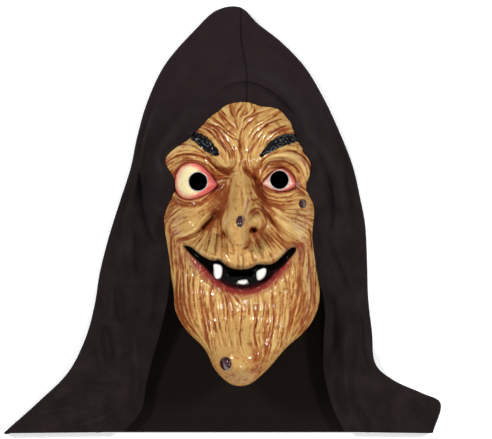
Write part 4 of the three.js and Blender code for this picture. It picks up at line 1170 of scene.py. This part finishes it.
knit_loops = loops("X", 230.0) * loops("Y", 300.0)
fuzz = noise(graph, 60.0, 4.0, 0.6)
east, north = millimetres(graph, "X"), millimetres(graph, "Y")
beside_seam = graph.math("ABSOLUTE", east - 0.5 - 4.7 * north.between(168.0, 130.0))
seam_line = (1 - beside_seam.between(0.2, 1.0)) * north.between(108.0, 112.0)
outer_side = millimetres(graph, "Z").between(2.5, 5.0)
cloth_colour = (fuzz + knit_loops * 0.3).between(0.3, 1.0).tint(colour(25, 19, 20), colour(38, 30, 31))
# The layer lying on the floor is painted darker and browner than the rest of the knit, as painted shade.
cloth_colour = outer_side.tint(colour(22, 17, 15), cloth_colour)
# The cloth is painted lighter towards the crown, as painted light.
cloth_colour = (north.between(60.0, 150.0) * 0.35).tint(cloth_colour, colour(46, 34, 38))
cloth_colour = (seam_line * 0.6).tint(cloth_colour, colour(7, 5, 6))
knit_height = knit_loops + fuzz * 0.4 - 4.0 * seam_line
knit_bump = graph.node("ShaderNodeBump", {}, {"Strength": 0.4, "Distance": 0.0002, "Height": knit_height})
feed(graph, shader, {"Base Color": cloth_colour, "Roughness": 0.92, "Normal": knit_bump,
                     "Sheen Weight": 0.02, "Sheen Roughness": 0.5, "Specular IOR Level": 0.03})
hood_mesh.materials.append(knitted)
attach(hood, "root")
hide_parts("hood")

# Floor, lights and camera
# A floor that is white round the mask and turns grey farther out, two lamps beyond the
# brow's corners and one beyond the chin, and a camera that looks straight down.
FLOOR_HALF = 4
FLOOR_DROP = 0.0005
WHITE_HALF_WIDTH, WHITE_HALF_LENGTH, WHITE_CENTRE_Y = 200, 180, 18
WHITE_FADE = 160
floor_mesh = bpy.data.meshes.new("floor")
floor_corners = [(x * FLOOR_HALF, y * FLOOR_HALF, -FLOOR_DROP)
                 for x, y in ((-1, -1), (1, -1), (1, 1), (-1, 1))]
floor_mesh.from_pydata(floor_corners, [], [(0, 1, 2, 3)])
floor = bpy.data.objects.new("floor", floor_mesh)
bpy.context.scene.collection.objects.link(floor)
paper, shader, graph = new_material("pale_floor")
out_x = graph.math("ABSOLUTE", millimetres(graph, "X")) - WHITE_HALF_WIDTH
out_y = graph.math("ABSOLUTE", millimetres(graph, "Y") - WHITE_CENTRE_Y) - WHITE_HALF_LENGTH
greyness = graph.math("MAXIMUM", out_x, out_y).between(0.0, WHITE_FADE)
feed(graph, shader, {"Base Color": greyness.tint(colour(240, 240, 240), colour(84, 84, 86)),
                     "Emission Color": greyness.tint(colour(240, 240, 240), colour(0, 0, 0)),
                     "Roughness": 0.9, "Emission Strength": 0.35})
floor_mesh.materials.append(paper)


def area_light(name, at, size, power, aim=(0, 0, 0.03)):
    data = bpy.data.lights.new(name, "AREA")
    data.shape = "DISK"
    data.size, data.energy = size, power
    lamp = bpy.data.objects.new(name, data)
    lamp.location = at
    x, y, z = np.array(at) - np.array(aim)
    lamp.rotation_euler = (math.atan2(math.hypot(x, y), z), 0, math.atan2(x, -y))
    bpy.context.scene.collection.objects.link(lamp)


area_light("key_light", (-1.0, 0.5, 1.3), 0.3, 19.8)
area_light("fill_light", (1.05, 0.35, 1.15), 0.3, 16.4)
area_light("low_light", (0.1, -1.3, 0.95), 0.4, 12)
world = bpy.data.worlds.new("studio")
world.use_nodes = True
world.node_tree.nodes["Background"].inputs["Color"].default_value = (1, 1, 1, 1)
world.node_tree.nodes["Background"].inputs["Strength"].default_value = 0.28
bpy.context.scene.world = world
bpy.context.scene.view_settings.view_transform = "Standard"

CAMERA_AT = (0.00468, 0.01833, 1.9)
LENS, SENSOR_WIDTH = 172.5, 36
camera_data = bpy.data.cameras.new("camera")
camera_data.lens = LENS
camera_data.sensor_width = SENSOR_WIDTH
camera = bpy.data.objects.new("camera", camera_data)
camera.location = CAMERA_AT
bpy.context.scene.collection.objects.link(camera)
bpy.context.scene.camera = camera
